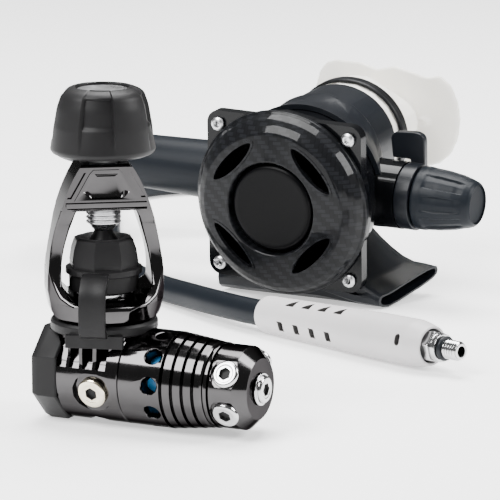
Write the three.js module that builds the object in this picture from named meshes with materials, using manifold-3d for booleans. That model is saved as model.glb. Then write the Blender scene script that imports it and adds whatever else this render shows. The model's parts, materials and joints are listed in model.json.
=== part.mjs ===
// A scuba regulator set in millimetres, +Z up, standing on the plane Z = 0.
// The first stage stands at the front left, with its body lying on the floor and its yoke upright.
// The second stage stands behind it on its exhaust tee, and one hose runs from it to a free fitting.
import * as THREE from 'three';
import { mergeVertices } from 'three/addons/utils/BufferGeometryUtils.js';
import Module from 'manifold-3d';

const wasm = await Module();
wasm.setup();

// ---------------------------------------------------------------------------------------------
// Driving dimensions
// ---------------------------------------------------------------------------------------------
const GAP = 0.3;                    // clearance between pieces that touch or run in each other
const DEG = Math.PI / 180;
const SURFACE_TOLERANCE = 0.05;     // how far a cut surface may be flattened
const WIDE_SIDES = 20;              // sides of the largest round shapes
const OVAL_SIDES = 18;              // sides of the case's and mouthpiece's ovals
const SIDES = 14;                   // sides of ordinary round shapes
const FINE_SIDES = 10;              // sides of bores, pins and small parts

// Where the two stages stand and how they are turned
const FIRST_STAGE_AT = [-65.9, 0];
const YOKE_YAW = 9 * DEG;
const BODY_YAW = -26.6 * DEG;
const SECOND_STAGE_AT = [18, 244];
const SECOND_STAGE_YAW = -27.8 * DEG;
const SECOND_STAGE_PITCH = 5.5 * DEG;
const SECOND_STAGE_ROLL = 2 * DEG;
const SCREW_PLANE_HEIGHT = 54;

// First stage body, axial places measured from the yoke's axis
const BODY_RADIUS = 22;
const BODY_END_RADIUS = 20;
const BODY_LEFT = -26;
const BODY_RIGHT = 58.8;
const BUMPER_LENGTH = 16.5;
const BUMPER_END_WALL = 3.4;
const BUMPER_WALL = 1.6;
const SEAM_AT = 18;
const AMBIENT_HOLES = 10;
const AMBIENT_HOLE_RADIUS = 3.6;
const AMBIENT_HOLES_AT = 33.8;
const RIBS_FROM = 39;
const RIB_COUNT = 4;
const RIB_WIDTH = 3.7;
const RIB_GROOVE = 1.3;
const RIB_GROOVE_DEPTH = 1.7;
const WAIST_AT = 2;                 // shallow scallop across the body's underside
const WAIST_RADIUS = 9;
const WAIST_DEPTH = 3.8;
const CHAMBER_RADIUS = 15.5;
const CHAMBER_FROM = 20;
const STEM_RADIUS = 4;
const STEM_BORE_FROM = -6;
const HP_PORT_AT = 4.6;
const HP_PORT_TILT = -15 * DEG;
const HP_SPOTFACE_RADIUS = 9.6;
const HP_SPOTFACE_DEPTH = 2.2;
const HP_PLUG_RADIUS = 7;
const POCKET_FROM = -13.4;
const POCKET_LENGTH = 25;
const POCKET_HEIGHT = 12.5;
const POCKET_DEPTH = 2.4;
const POCKET_BARS = 3;
const POCKET_BAR_WIDTH = 1.7;
const POCKET_TILT = 31 * DEG;
const COLLAR_RADIUS = 20.8;
const COLLAR_RISE = 19.7;           // collar top above the body's axis
const NECK_RADIUS = 17;

// Low-pressure turret
const TURRET_RADIUS = 19;
const TURRET_LENGTH = 17.2;
const TURRET_CHAMFER = 5.2;
const TURRET_POST_RADIUS = 6;
const SWIVEL_CAP_WIDTH = 2.3;
const SWIVEL_CAP_RADIUS = 19.4;
const LP_PORT_ANGLE = 29 * DEG;
const LP_PORT_SETBACK = 8.2;        // port centre from the turret's inner face
const LP_PLUG_RADIUS = 6.2;
const LP_SPOTFACE_RADIUS = 7.6;
const LP_SPOTFACE_DEPTH = 1.3;
const PLUG_HEAD = 2.3;
const PLUG_SHANK_RADIUS = 4.2;
const PLUG_SHANK = 5;
const HEX_SOCKET_FLATS = 5.4;
const HEX_SOCKET_DEPTH = 2.6;
const END_BOLT_RADIUS = 6.2;
const END_BOLT_HEAD = 2.8;

// Piston and its spring
const PISTON_HEAD_RADIUS = 15.2;
const PISTON_HEAD_WIDTH = 5;
const PISTON_TRAVEL = 2;
const SPRING_WIRE_RADIUS = 1.5;
const SPRING_RADIUS = 8.6;
const SPRING_TURNS = 5;
const INSULATOR_WALL = 1.6;
const HP_SEAT_WIDTH = 3;

// Yoke, heights measured from its underside
const STRAP_RING_HEIGHT = 5.6;
const STRAP_RING_RADIUS = 24.4;
const YOKE_HALF_WIDTH = 26.4;
const YOKE_TOP_HALF_WIDTH = 10.9;
const YOKE_HEIGHT = 71.1;
const YOKE_BASE_HEIGHT = 9;
const YOKE_BASE_RADIUS = 25.2;
const YOKE_BULGE_HEIGHT = 14;
const WINDOW_HALF_WIDTH = 20.4;
const WINDOW_TOP_HALF_WIDTH = 13.6;
const YOKE_BLOCK_HEIGHT = 19.8;    // solid block above the window
const YOKE_POST_HALF_DEPTH = 7.5;
const YOKE_BLOCK_HALF_DEPTH = 11.5;
const PLATE_HEIGHT = 13.9;
const PLATE_TOP_HALF_WIDTH = 6.4;
const PLATE_BASE_HALF_WIDTH = 14.4;
const PLATE_RISE = 0.7;
const PLATE_RECESS = 1.1;
const LEDGE_HEIGHT = 2.6;
const LEDGE_RISE = 1.6;
const RETAINER_SHANK_RADIUS = 10;
const RETAINER_FLANGE_RADIUS = 13.8;
const RETAINER_FLANGE = 3.2;
const RETAINER_DEPTH = 18;          // below the yoke's underside
const INLET_RADIUS = 4.8;
const FILTER_LENGTH = 9;

// Yoke screw, knob and dust cap
const SCREW_RADIUS = 7.9;
const SCREW_TIP_RADIUS = 4.6;
const SCREW_TIP_CONE = 3.6;
const KNOB_RADIUS = 23.8;
const KNOB_HEIGHT = 32.2;
const KNOB_LIFT = 1.6;
const KNOB_FLUTES = 4;
const KNOB_FLUTE_HALF_ANGLE = 20 * DEG;
const KNOB_FLUTE_DEPTH = 2.3;
const KNOB_TURNED_BY = -13.6 * DEG;
const KNOB_WELL_RADIUS = 12.2;
const KNOB_WELL_DEPTH = 2.6;
const KNOB_SOCKET_DEPTH = 21;
const CAP_SKIRT_RADIUS = 15.8;
const CAP_SKIRT = 7;
const CAP_FLANGE_RADIUS = 17.3;
const CAP_FLANGE = 3.6;
const CAP_HEIGHT = 26.9;
const CAP_CONE_RISE = 3.2;
const CAP_FACETS = 8;
const CAP_FACET_RADIUS = 16;
const CAP_SHOULDER_RADIUS = 13.8;
const CAP_CONE_RADIUS = 4.2;
const STRAP_WIDTH = 12;
const STRAP_THICKNESS = 2.4;
const STRAP_FOOT_WIDTH = 26;
const STRAP_FOOT_THICKNESS = 3;
const STRAP_FOOT_DROP = 4;
const STRAP_TURNED_BY = -18 * DEG;

// Second stage, measured from the middle of the plane of the cover's four screws
const COVER_RADIUS = 48.5;
const COVER_RISE = 17;
const COVER_WALL = 2.2;
const SCREW_SPACING = 74.3;
const EAR_RADIUS = 6.8;
const FRAME_RADIUS = 47.2;
const FRAME_THICKNESS = 6;
const BUTTON_RADIUS = 22.6;
const BUTTON_CLEARANCE = 1.6;
const BUTTON_THICKNESS = 4;
const SLOT_LENGTH = 30;
const SLOT_WIDTH = 7.6;
const SLOT_RADIUS = 31.5;
const SCREW_HEAD_RADIUS = 3.7;
const SCREW_HEAD = 2.4;
const SCREW_SHANK_RADIUS = 1.6;
const CASE_WALL = 2.4;
const MOUTH_HEIGHT = 16;            // mouth tube's axis above the cover's
const MOUTH_HALF_WIDTH = 28.2;
const MOUTH_HALF_HEIGHT = 26.6;
const MOUTH_TUBE_END = 79;
const SHROUD_FROM = 23;
const CASE_NECK_AT = 46;             // where the case narrows to the mouth tube
const SHROUD_TO = 66;
const SHROUD_WALL = 3;
const NECK_FROM = 66.6;
const NECK_WALL = 1.6;
const CLAMP_FROM = 70.5;
const CLAMP_WIDTH = 5.5;
const CLAMP_WALL = 1.8;
const MOUTHPIECE_END = 104;
const AIRWAY_HALF_WIDTH = 17;
const AIRWAY_HALF_HEIGHT = 9;
const FLANGE_HALF_WIDTH = 43;
const FLANGE_HALF_HEIGHT = 29;
const FLANGE_THICKNESS = 2.8;
const FLANGE_AT = 100;
const BARREL_AT = 35;               // valve barrel's axis behind the screw plane
const BARREL_RADIUS = 17.5;
const BARREL_HALF_LENGTH = 52;
const VALVE_TUBE_RADIUS = 9;
const VALVE_TUBE_WALL = 1.6;
const POPPET_RADIUS = 5.6;
const POPPET_LIFT = 0.5;
const LEVER_REACH = 22;
const DIAPHRAGM_AT = 9;
const DIAPHRAGM_RADIUS = FRAME_RADIUS - 6.2;
const DIAPHRAGM_PLATE_RADIUS = 13;
const LEVER_RING_RADIUS = 17.2;
const LEVER_RING_WIDTH = 8;
const PADDLE_HEIGHT = 14.5;
const PADDLE_WIDTH = 17;
const PADDLE_THICKNESS = 4.2;
const INHALE_KNOB_RADIUS = 17;
const INHALE_KNOB_END_RADIUS = 13.2;
const INHALE_KNOB_LENGTH = 31.6;
const INHALE_KNOB_GRIPS = 6;
const INHALE_NECK_RADIUS = 5;        // spindle between the barrel and the knob
const INHALE_SOCKET_DEPTH = 9;
const INHALE_WELL_RADIUS = 10;
const INHALE_WELL_DEPTH = 2.4;
const TEE_HALF_LENGTH = 52;
const TEE_DEPTH = 54;
const TEE_HEIGHT = 15;
const TEE_SADDLE = 37;              // height under the case
const TEE_SLANT = 0.2;              // how far the outlets' planes lean, per millimetre of depth
const TEE_FRONT = 11;
const TEE_WALL = 2;
const EXHAUST_PORT_RADIUS = 13;
const EXHAUST_PORT_AT = 31;

// Hose and what is on it
const HOSE_RADIUS = 6.6;
const HOSE_SIDES = 8;
const HOSE_STEPS = 40;
const SLEEVE_RADIUS = 15.7;
const SLEEVE_LENGTH = 66;
const SLEEVE_CAVITY = 30;
const INLET_NUT_FLATS = 19;
const GUARD_TAIL_AT = [8.2, 176.8, 9.6];
const GUARD_HEAD_AT = [83.2, 98.7, 11.8];
const GUARD_TAIL_RADIUS = 9.3;
const GUARD_HEAD_RADIUS = 11.6;
const GUARD_LENGTH = 105;
const GUARD_NOSE = 9;
const GUARD_SLOTS = 4;
const GUARD_SLOTS_FROM = 16.4;
const GUARD_SLOT_SPACING = 11.2;
const GUARD_SLOT_WIDTH = 5.4;
const GUARD_RECESS_DEPTH = 2.4;
const GUARD_SLOT_ANGLE = 31 * DEG;
const GUARD_NOTCH_ANGLE = 52 * DEG;
const HOSE_END = 90;                // along the guard from its tail
const FITTING_NUT_RADIUS = 8.1;
const FITTING_COLLAR_RADIUS = 7.6;
const FITTING_THREAD_RADIUS = 4.75;
const FITTING_THREAD = 10.4;
const FITTING_BORE_RADIUS = 2.6;
const ORING_RADIUS = 6.1;
const ORING_WIRE = 1.5;

// The hose's middle line, from inside the sleeve to the fitting inside its guard, chosen by hand.
const HOSE_ROUTE = [
  [-48.1, 317.9, 60.6], [-59.5, 323.9, 61.1], [-72, 330.4, 61.5], [-88.8, 344, 61.5],
  [-98.5, 360.8, 61], [-101.9, 380, 60], [-98.5, 399.2, 58], [-88.8, 416, 55],
  [-73.9, 428.5, 51], [-55.6, 435.1, 46], [-26, 437, 38], [-4, 438, 31], [19, 445, 23],
  [37, 461, 15.5], [47, 482, 10], [46, 507, 7.4], [33, 529, 6.8], [11, 545, 6.8], [-14, 551, 6.8],
  [-38, 549, 6.8], [-60, 538, 6.8], [-76, 519, 6.8], [-82, 494, 6.8], [-80, 462, 6.8],
  [-79, 430, 6.8], [-78, 398, 6.8], [-76, 366, 6.8], [-72, 334, 6.8], [-66, 303, 6.8],
  [-57, 275, 6.8], [-45, 251, 7], [-31, 229.5, 7.6], [-17.5, 208, 8.6], [-2.2, 187.6, 9.3],
  [18.6, 166, 9.9], [35.9, 148, 10.4], [53.2, 129.9, 10.9], [70.1, 112.3, 11.4],
];

// Finishes as colour, roughness and metalness
const BLACK_CHROME = [0x2b2a2c, 0.12, 1];
const CHROME = [0xd8d8da, 0.14, 1];
const STEEL = [0xb9bbbd, 0.28, 1];
const PALE_GOLD = [0xcfc7a8, 0.22, 1];
const BLACK_RUBBER = [0x1c1c1d, 0.62, 0];
const BLACK_PLASTIC = [0x202124, 0.5, 0];
const GLOSS_BLACK = [0x0d0e10, 0.12, 0];
const CARBON = [0x2a2c30, 0.15, 0.1];
const BLUE_BLACK = [0x1d2229, 0.45, 0];
const SLATE_RUBBER = [0x353c44, 0.55, 0];
const WHITE_RUBBER = [0xd6d3d2, 0.5, 0];
const SILICONE = [0xdedcd2, 0.35, 0];
const BLUE_PLASTIC = [0x1d7fc0, 0.4, 0];
const BRASS = [0xb08d4a, 0.3, 1];

// ---------------------------------------------------------------------------------------------
// Geometry helpers
// ---------------------------------------------------------------------------------------------

// Merges shared vertices, drops triangles without area and turns an inside-out surface round.
function weld(geometry) {
  const bare = geometry.clone();
  bare.deleteAttribute('normal');
  bare.deleteAttribute('uv');
  const merged = mergeVertices(bare, 1e-4);
  const index = merged.index.array;
  const kept = [];
  for (let i = 0; i < index.length; i += 3) {
    const [a, b, c] = [index[i], index[i + 1], index[i + 2]];
    if (a !== b && b !== c && c !== a) {
      kept.push(a, b, c);
    }
  }
  merged.setIndex(kept);
  if (enclosedVolume(merged) < 0) {
    for (let i = 0; i < kept.length; i += 3) {
      [kept[i], kept[i + 1]] = [kept[i + 1], kept[i]];
    }
    merged.setIndex(kept);
  }
  return merged;
}

function enclosedVolume(geometry) {
  const position = geometry.attributes.position;
  const index = geometry.index.array;
  const [a, b, c] = [new THREE.Vector3(), new THREE.Vector3(), new THREE.Vector3()];
  let volume = 0;
  for (let i = 0; i < index.length; i += 3) {
    a.fromBufferAttribute(position, index[i]);
    b.fromBufferAttribute(position, index[i + 1]);
    c.fromBufferAttribute(position, index[i + 2]);
    volume += a.dot(b.cross(c)) / 6;
  }
  return volume;
}

function toSolid(geometry) {
  const welded = weld(geometry);
  const vertProperties = new Float32Array(welded.attributes.position.array);
  const triVerts = new Uint32Array(welded.index.array);
  return new wasm.Manifold(new wasm.Mesh({ numProp: 3, vertProperties, triVerts }));
}

function toGeometry(solid) {
  const mesh = solid.simplify(SURFACE_TOLERANCE).getMesh();
  const geometry = new THREE.BufferGeometry();
  geometry.setAttribute('position', new THREE.BufferAttribute(mesh.vertProperties, 3));
  geometry.setIndex(new THREE.BufferAttribute(mesh.triVerts, 1));
  return geometry;
}

const join = (first, ...rest) => toGeometry(rest.reduce((sum, g) => sum.add(toSolid(g)), toSolid(first)));
const cut = (body, ...tools) => toGeometry(tools.reduce((left, g) => left.subtract(toSolid(g)), toSolid(body)));
const common = (first, ...rest) => toGeometry(rest.reduce((both, g) => both.intersect(toSolid(g)), toSolid(first)));

// A profile of [radius, height] points turned about +Z. It runs up the outside, ends on the axis
// or comes back to its first point.
function revolve(profile, segments = SIDES) {
  const points = profile.map(([radius, height]) => new THREE.Vector2(radius, height));
  return new THREE.LatheGeometry(points, segments).rotateX(Math.PI / 2);
}

function rod(radius, from, to, segments = SIDES) {
  return revolve([[0, from], [radius, from], [radius, to], [0, to]], segments);
}

function tube(outer, inner, from, to, segments = SIDES) {
  return revolve([[inner, from], [outer, from], [outer, to], [inner, to], [inner, from]], segments);
}

const alongX = (geometry) => geometry.rotateY(Math.PI / 2);
const alongY = (geometry) => geometry.rotateX(-Math.PI / 2);

function box(from, to) {
  const size = to.map((high, axis) => high - from[axis]);
  const middle = to.map((high, axis) => (high + from[axis]) / 2);
  return new THREE.BoxGeometry(...size).translate(...middle);
}

function outline(points) {
  return new THREE.Shape(points.map(([x, y]) => new THREE.Vector2(x, y)));
}

// A flat outline given in X and Z, extruded along Y between two places.
function plate(shape, from, to, curveSegments = 8) {
  const geometry = new THREE.ExtrudeGeometry(shape, { depth: to - from, bevelEnabled: false, curveSegments });
  return geometry.rotateX(Math.PI / 2).translate(0, to, 0);
}

// A hexagonal prism about +Z, measured across its flats.
function hexagon(flats, from, to) {
  return rod(flats / Math.sqrt(3), from, to, 6);
}

// A closed skin through rings of points, each ring running the same way round, with flat ends.
function loft(rings) {
  const around = rings[0].length;
  const position = rings.flat().flatMap((point) => point.toArray());
  const index = [];
  for (let ring = 0; ring + 1 < rings.length; ring += 1) {
    for (let i = 0; i < around; i += 1) {
      const [a, b] = [ring * around + i, ring * around + ((i + 1) % around)];
      index.push(a, b, b + around, a, b + around, a + around);
    }
  }
  for (const [ring, turned] of [[0, true], [rings.length - 1, false]]) {
    const centre = position.length / 3;
    const middle = rings[ring].reduce((sum, point) => sum.add(point), new THREE.Vector3());
    position.push(...middle.divideScalar(around).toArray());
    for (let i = 0; i < around; i += 1) {
      const [a, b] = [ring * around + i, ring * around + ((i + 1) % around)];
      index.push(...(turned ? [b, a, centre] : [a, b, centre]));
    }
  }
  const geometry = new THREE.BufferGeometry();
  geometry.setAttribute('position', new THREE.Float32BufferAttribute(position, 3));
  geometry.setIndex(index);
  return geometry;
}

// An oval ring in the plane at Y, with a squareness of 2 for an ellipse and more for a fuller oval.
function oval(y, halfWidth, halfHeight, centreHeight = 0, squareness = 2, count = OVAL_SIDES) {
  return Array.from({ length: count }, (_, i) => {
    const angle = (i / count) * 2 * Math.PI;
    const [c, s] = [Math.cos(angle), Math.sin(angle)];
    const bulge = (value) => Math.sign(value) * Math.abs(value) ** (2 / squareness);
    return new THREE.Vector3(halfWidth * bulge(c), y, centreHeight + halfHeight * bulge(s));
  });
}

function addPiece(parent, name, geometry, [color, roughness, metalness]) {
  const material = new THREE.MeshStandardMaterial({ color, roughness, metalness });
  const mesh = new THREE.Mesh(weld(geometry), material);
  mesh.name = name;
  parent.add(mesh);
  return mesh;
}

// A screwed port plug about +Z: the underside of its head lies at height 0.
function portPlug(headRadius) {
  const chamfer = 0.7;
  const body = revolve([
    [0, -PLUG_SHANK], [PLUG_SHANK_RADIUS, -PLUG_SHANK], [PLUG_SHANK_RADIUS, 0], [headRadius, 0],
    [headRadius, PLUG_HEAD - chamfer], [headRadius - chamfer, PLUG_HEAD], [0, PLUG_HEAD],
  ]);
  return cut(body, hexagon(HEX_SOCKET_FLATS, PLUG_HEAD - HEX_SOCKET_DEPTH, PLUG_HEAD + 1));
}

// ---------------------------------------------------------------------------------------------
// First stage
// ---------------------------------------------------------------------------------------------
const firstStage = new THREE.Group();
firstStage.position.set(FIRST_STAGE_AT[0], FIRST_STAGE_AT[1], 0);
const bodyFrame = new THREE.Group();       // +X along the body, towards the turret
bodyFrame.rotation.z = BODY_YAW;
bodyFrame.position.z = BODY_RADIUS;
const yokeFrame = new THREE.Group();       // +Z up the yoke's axis
yokeFrame.rotation.z = YOKE_YAW;
firstStage.add(bodyFrame, yokeFrame);

const COLLAR_TOP = BODY_RADIUS + COLLAR_RISE;
const YOKE_BASE = COLLAR_TOP + GAP + STRAP_RING_HEIGHT + GAP;
const TURRET_FROM = BODY_RIGHT + GAP + SWIVEL_CAP_WIDTH + GAP;
const TURRET_TO = TURRET_FROM + TURRET_LENGTH;

// Turns a piece built about +Z so that it looks out of the body at an angle above the front.
function outOfBody(geometry, distance, tilt, at, back = false) {
  geometry.translate(0, 0, distance);
  geometry.rotateX(back ? -(Math.PI / 2 - tilt) : Math.PI / 2 - tilt);
  return geometry.translate(at, 0, 0);
}

function bodyProfile() {
  const ribs = [];
  for (let i = 0; i < RIB_COUNT; i += 1) {
    const from = RIBS_FROM + i * (RIB_WIDTH + RIB_GROOVE);
    const radius = BODY_RADIUS - 0.6 * i;
    const root = radius - RIB_GROOVE_DEPTH;
    ribs.push(
      [radius, from - 0.01], [root, from], [root, from + RIB_GROOVE],
      [radius - 0.3, from + RIB_GROOVE + 0.2],
    );
  }
  const end = BODY_RADIUS - 0.6 * RIB_COUNT;
  return [
    [0, BODY_LEFT], [BODY_END_RADIUS - 2, BODY_LEFT], [BODY_END_RADIUS, BODY_LEFT + 2],
    [BODY_END_RADIUS, BODY_LEFT + BUMPER_LENGTH - BUMPER_END_WALL],
    [BODY_RADIUS, BODY_LEFT + BUMPER_LENGTH - BUMPER_END_WALL],
    [BODY_RADIUS, SEAM_AT - 0.5], [BODY_RADIUS - 0.6, SEAM_AT],
    [BODY_RADIUS, SEAM_AT + 0.5], ...ribs, [end, BODY_RIGHT - 0.8], [end - 0.8, BODY_RIGHT], [0, BODY_RIGHT],
  ];
}

function makeBody() {
  const outer = alongX(revolve(bodyProfile(), WIDE_SIDES));
  const collar = revolve([
    [0, 4], [COLLAR_RADIUS, 4], [COLLAR_RADIUS, COLLAR_RISE], [NECK_RADIUS, COLLAR_RISE],
    [NECK_RADIUS, YOKE_BASE - GAP - BODY_RADIUS], [0, YOKE_BASE - GAP - BODY_RADIUS],
  ], WIDE_SIDES);
  const retainerFoot = YOKE_BASE - RETAINER_DEPTH - BODY_RADIUS;
  const tools = [
    rod(RETAINER_SHANK_RADIUS + GAP, retainerFoot - GAP, 40),
    rod(3, 0, retainerFoot, FINE_SIDES),
    tube(STRAP_RING_RADIUS + GAP, NECK_RADIUS, COLLAR_RISE, BODY_RADIUS + 4, WIDE_SIDES),
    alongY(rod(WAIST_RADIUS, -BODY_RADIUS, BODY_RADIUS)).translate(WAIST_AT, 0, WAIST_DEPTH - BODY_RADIUS - WAIST_RADIUS),
    alongX(rod(STEM_RADIUS + GAP, STEM_BORE_FROM, CHAMBER_FROM + 1, FINE_SIDES)),
    alongX(rod(CHAMBER_RADIUS, CHAMBER_FROM, BODY_RIGHT + 1, WIDE_SIDES)),
  ];
  for (const back of [false, true]) {
    tools.push(
      outOfBody(
        rod(HP_SPOTFACE_RADIUS, BODY_RADIUS - HP_SPOTFACE_DEPTH, BODY_RADIUS + 5), 0, HP_PORT_TILT,
        HP_PORT_AT, back,
      ),
    );
    tools.push(outOfBody(rod(PLUG_SHANK_RADIUS + GAP, 8, BODY_RADIUS), 0, HP_PORT_TILT, HP_PORT_AT, back));
  }
  const cell = (POCKET_LENGTH - POCKET_BARS * POCKET_BAR_WIDTH) / (POCKET_BARS + 1);
  for (let i = 0; i <= POCKET_BARS; i += 1) {
    const from = POCKET_FROM + i * (cell + POCKET_BAR_WIDTH);
    const pocket = box(
      [from, -POCKET_HEIGHT / 2, BODY_RADIUS - POCKET_DEPTH],
      [from + cell, POCKET_HEIGHT / 2, BODY_RADIUS + 4],
    );
    tools.push(outOfBody(pocket, 0, POCKET_TILT, 0));
  }
  for (let i = 0; i < AMBIENT_HOLES; i += 1) {
    const angle = 3 * DEG + (i * 2 * Math.PI) / AMBIENT_HOLES;
    const hole = rod(AMBIENT_HOLE_RADIUS, CHAMBER_RADIUS - 2, BODY_RADIUS + 1, FINE_SIDES);
    tools.push(outOfBody(hole, 0, angle, AMBIENT_HOLES_AT));
  }
  return cut(join(outer, collar), ...tools);
}

function makeBumper() {
  const flats = Math.cos(Math.PI / 8);
  const inner = (BODY_END_RADIUS + GAP) / flats;
  const outer = (BODY_END_RADIUS + GAP + BUMPER_WALL) / flats;
  const left = BODY_LEFT - BUMPER_END_WALL - GAP;
  const right = BODY_LEFT + BUMPER_LENGTH - BUMPER_END_WALL - GAP;
  const skin = revolve([
    [0, left], [outer * 0.62, left], [outer - 1.4, left + 3.4], [outer, left + 7], [outer, right - 0.8],
    [outer - 0.6, right], [inner, right], [inner, BODY_LEFT - GAP], [0, BODY_LEFT - GAP],
  ], 8);
  return cut(
    alongX(skin.rotateZ(Math.PI / 8)),
    rod(COLLAR_RADIUS + GAP, 0, COLLAR_RISE, WIDE_SIDES),
    rod(STRAP_RING_RADIUS + GAP, COLLAR_RISE - GAP, COLLAR_RISE + 8, WIDE_SIDES),
  );
}

addPiece(bodyFrame, 'first_stage_body', makeBody(), BLACK_CHROME);
addPiece(bodyFrame, 'body_end_bumper', makeBumper(), BLACK_RUBBER);

const HP_SEAT_OF_PLUG = BODY_RADIUS - HP_SPOTFACE_DEPTH + GAP;
addPiece(
  bodyFrame, 'high_pressure_plug_front',
  outOfBody(portPlug(HP_PLUG_RADIUS), HP_SEAT_OF_PLUG, HP_PORT_TILT, HP_PORT_AT), PALE_GOLD,
);
addPiece(
  bodyFrame, 'high_pressure_plug_rear',
  outOfBody(portPlug(HP_PLUG_RADIUS), HP_SEAT_OF_PLUG, HP_PORT_TILT, HP_PORT_AT, true), PALE_GOLD,
);

// The piston: its head closes the chamber's right end and its stem reaches the seat.
const PISTON_HEAD_TO = BODY_RIGHT - GAP;
const PISTON_HEAD_FROM = PISTON_HEAD_TO - PISTON_HEAD_WIDTH;
const STEM_TIP = STEM_BORE_FROM + HP_SEAT_WIDTH + PISTON_TRAVEL + 2 * GAP;
addPiece(bodyFrame, 'piston', alongX(revolve([
  [0, STEM_TIP], [STEM_RADIUS, STEM_TIP], [STEM_RADIUS, PISTON_HEAD_FROM],
  [PISTON_HEAD_RADIUS, PISTON_HEAD_FROM],
  [PISTON_HEAD_RADIUS, PISTON_HEAD_TO], [0, PISTON_HEAD_TO],
])), STEEL);
addPiece(
  bodyFrame, 'high_pressure_seat',
  alongX(rod(STEM_RADIUS, STEM_BORE_FROM + GAP, STEM_BORE_FROM + GAP + HP_SEAT_WIDTH, FINE_SIDES)),
  WHITE_RUBBER,
);

class Helix extends THREE.Curve {
  constructor(radius, turns, from, to) {
    super();
    Object.assign(this, { radius, turns, from, to });
  }

  getPoint(t, target = new THREE.Vector3()) {
    const angle = t * this.turns * 2 * Math.PI;
    const height = this.from + t * (this.to - this.from);
    return target.set(height, this.radius * Math.cos(angle), this.radius * Math.sin(angle));
  }
}

function coilSpring(radius, wire, turns, from, to, sides = 4, stepsPerTurn = 8) {
  const section = new THREE.Shape().absarc(0, 0, wire, 0, 2 * Math.PI);
  const path = new Helix(radius, turns, from + wire, to - wire);
  return new THREE.ExtrudeGeometry(section, {
    extrudePath: path, steps: turns * stepsPerTurn, bevelEnabled: false, curveSegments: sides / 2,
  });
}

const SPRING_FROM = CHAMBER_FROM + PISTON_TRAVEL + GAP;
const SPRING_TO = PISTON_HEAD_FROM - GAP;
addPiece(
  bodyFrame, 'piston_spring',
  coilSpring(SPRING_RADIUS, SPRING_WIRE_RADIUS, SPRING_TURNS, SPRING_FROM, SPRING_TO), STEEL,
);
addPiece(bodyFrame, 'spring_insulator', alongX(tube(
  CHAMBER_RADIUS - GAP, CHAMBER_RADIUS - GAP - INSULATOR_WALL, CHAMBER_FROM + GAP,
  PISTON_HEAD_FROM - PISTON_TRAVEL - GAP, 28,
)), BLUE_PLASTIC);

// The swivel cap closes the chamber, and its post carries the turret.
addPiece(bodyFrame, 'swivel_cap', alongX(revolve([
  [0, BODY_RIGHT + GAP], [SWIVEL_CAP_RADIUS - 0.6, BODY_RIGHT + GAP],
  [SWIVEL_CAP_RADIUS, BODY_RIGHT + GAP + 0.6],
  [SWIVEL_CAP_RADIUS, TURRET_FROM - GAP], [TURRET_POST_RADIUS, TURRET_FROM - GAP],
  [TURRET_POST_RADIUS, TURRET_TO - END_BOLT_HEAD], [0, TURRET_TO - END_BOLT_HEAD],
])), BLACK_CHROME);

const LP_PORT_AT = TURRET_FROM + LP_PORT_SETBACK;
const LP_PORTS = [
  { tilt: LP_PORT_ANGLE, back: false }, { tilt: -LP_PORT_ANGLE, back: false },
  { tilt: LP_PORT_ANGLE, back: true }, { tilt: -LP_PORT_ANGLE, back: true },
];

function makeTurret() {
  const bore = TURRET_POST_RADIUS + GAP;
  const shell = alongX(revolve([
    [bore, TURRET_FROM], [TURRET_RADIUS - 0.6, TURRET_FROM], [TURRET_RADIUS, TURRET_FROM + 0.6],
    [TURRET_RADIUS, TURRET_TO - TURRET_CHAMFER], [TURRET_RADIUS - TURRET_CHAMFER, TURRET_TO],
    [bore, TURRET_TO], [bore, TURRET_FROM],
  ], WIDE_SIDES));
  const tools = [];
  for (const { tilt, back } of LP_PORTS) {
    tools.push(
      outOfBody(
        rod(LP_SPOTFACE_RADIUS, TURRET_RADIUS - LP_SPOTFACE_DEPTH, TURRET_RADIUS + 4), 0, tilt, LP_PORT_AT,
        back,
      ),
    );
    tools.push(
      outOfBody(
        rod(PLUG_SHANK_RADIUS + GAP, TURRET_POST_RADIUS + 3, TURRET_RADIUS, FINE_SIDES), 0, tilt,
        LP_PORT_AT, back,
      ),
    );
  }
  return cut(shell, ...tools);
}

const turretFrame = new THREE.Group();
bodyFrame.add(turretFrame);
addPiece(turretFrame, 'low_pressure_turret', makeTurret(), BLACK_CHROME);
LP_PORTS.forEach(({ tilt, back }, i) => {
  const seat = TURRET_RADIUS - LP_SPOTFACE_DEPTH + GAP;
  addPiece(
    turretFrame, `low_pressure_plug_${i + 1}`,
    outOfBody(portPlug(LP_PLUG_RADIUS), seat, tilt, LP_PORT_AT, back), CHROME,
  );
});

function makeEndBolt() {
  const seat = TURRET_TO + GAP;
  const body = alongX(revolve([
    [0, seat], [END_BOLT_RADIUS + 1.2, seat], [END_BOLT_RADIUS + 1.2, seat + 0.8],
    [END_BOLT_RADIUS, seat + 0.9],
    [END_BOLT_RADIUS, seat + END_BOLT_HEAD - 0.8], [END_BOLT_RADIUS - 0.8, seat + END_BOLT_HEAD],
    [0, seat + END_BOLT_HEAD],
  ]));
  return cut(body, alongX(hexagon(HEX_SOCKET_FLATS, seat + END_BOLT_HEAD - 1.8, seat + END_BOLT_HEAD + 1)));
}
addPiece(bodyFrame, 'turret_end_bolt', makeEndBolt(), CHROME);

// ---------------------------------------------------------------------------------------------
// Yoke, screw, knob and dust cap
// ---------------------------------------------------------------------------------------------
const YOKE_TOP = YOKE_BASE + YOKE_HEIGHT;
const WINDOW_TOP = YOKE_HEIGHT - YOKE_BLOCK_HEIGHT;
const RETAINER_SEAT = YOKE_BASE + YOKE_BASE_HEIGHT + GAP;
const CAP_BASE = RETAINER_SEAT + RETAINER_FLANGE + GAP;
const SCREW_TIP = CAP_BASE + CAP_HEIGHT + GAP;

function mirrored(points) {
  return [...points, ...points.map(([x, y]) => [-x, y]).reverse()];
}

function curvePoints(from, firstHandle, secondHandle, to, count) {
  const vectors = [from, firstHandle, secondHandle, to].map(([x, y]) => new THREE.Vector2(x, y));
  return new THREE.CubicBezierCurve(...vectors).getPoints(count).map(({ x, y }) => [x, y]);
}

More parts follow.
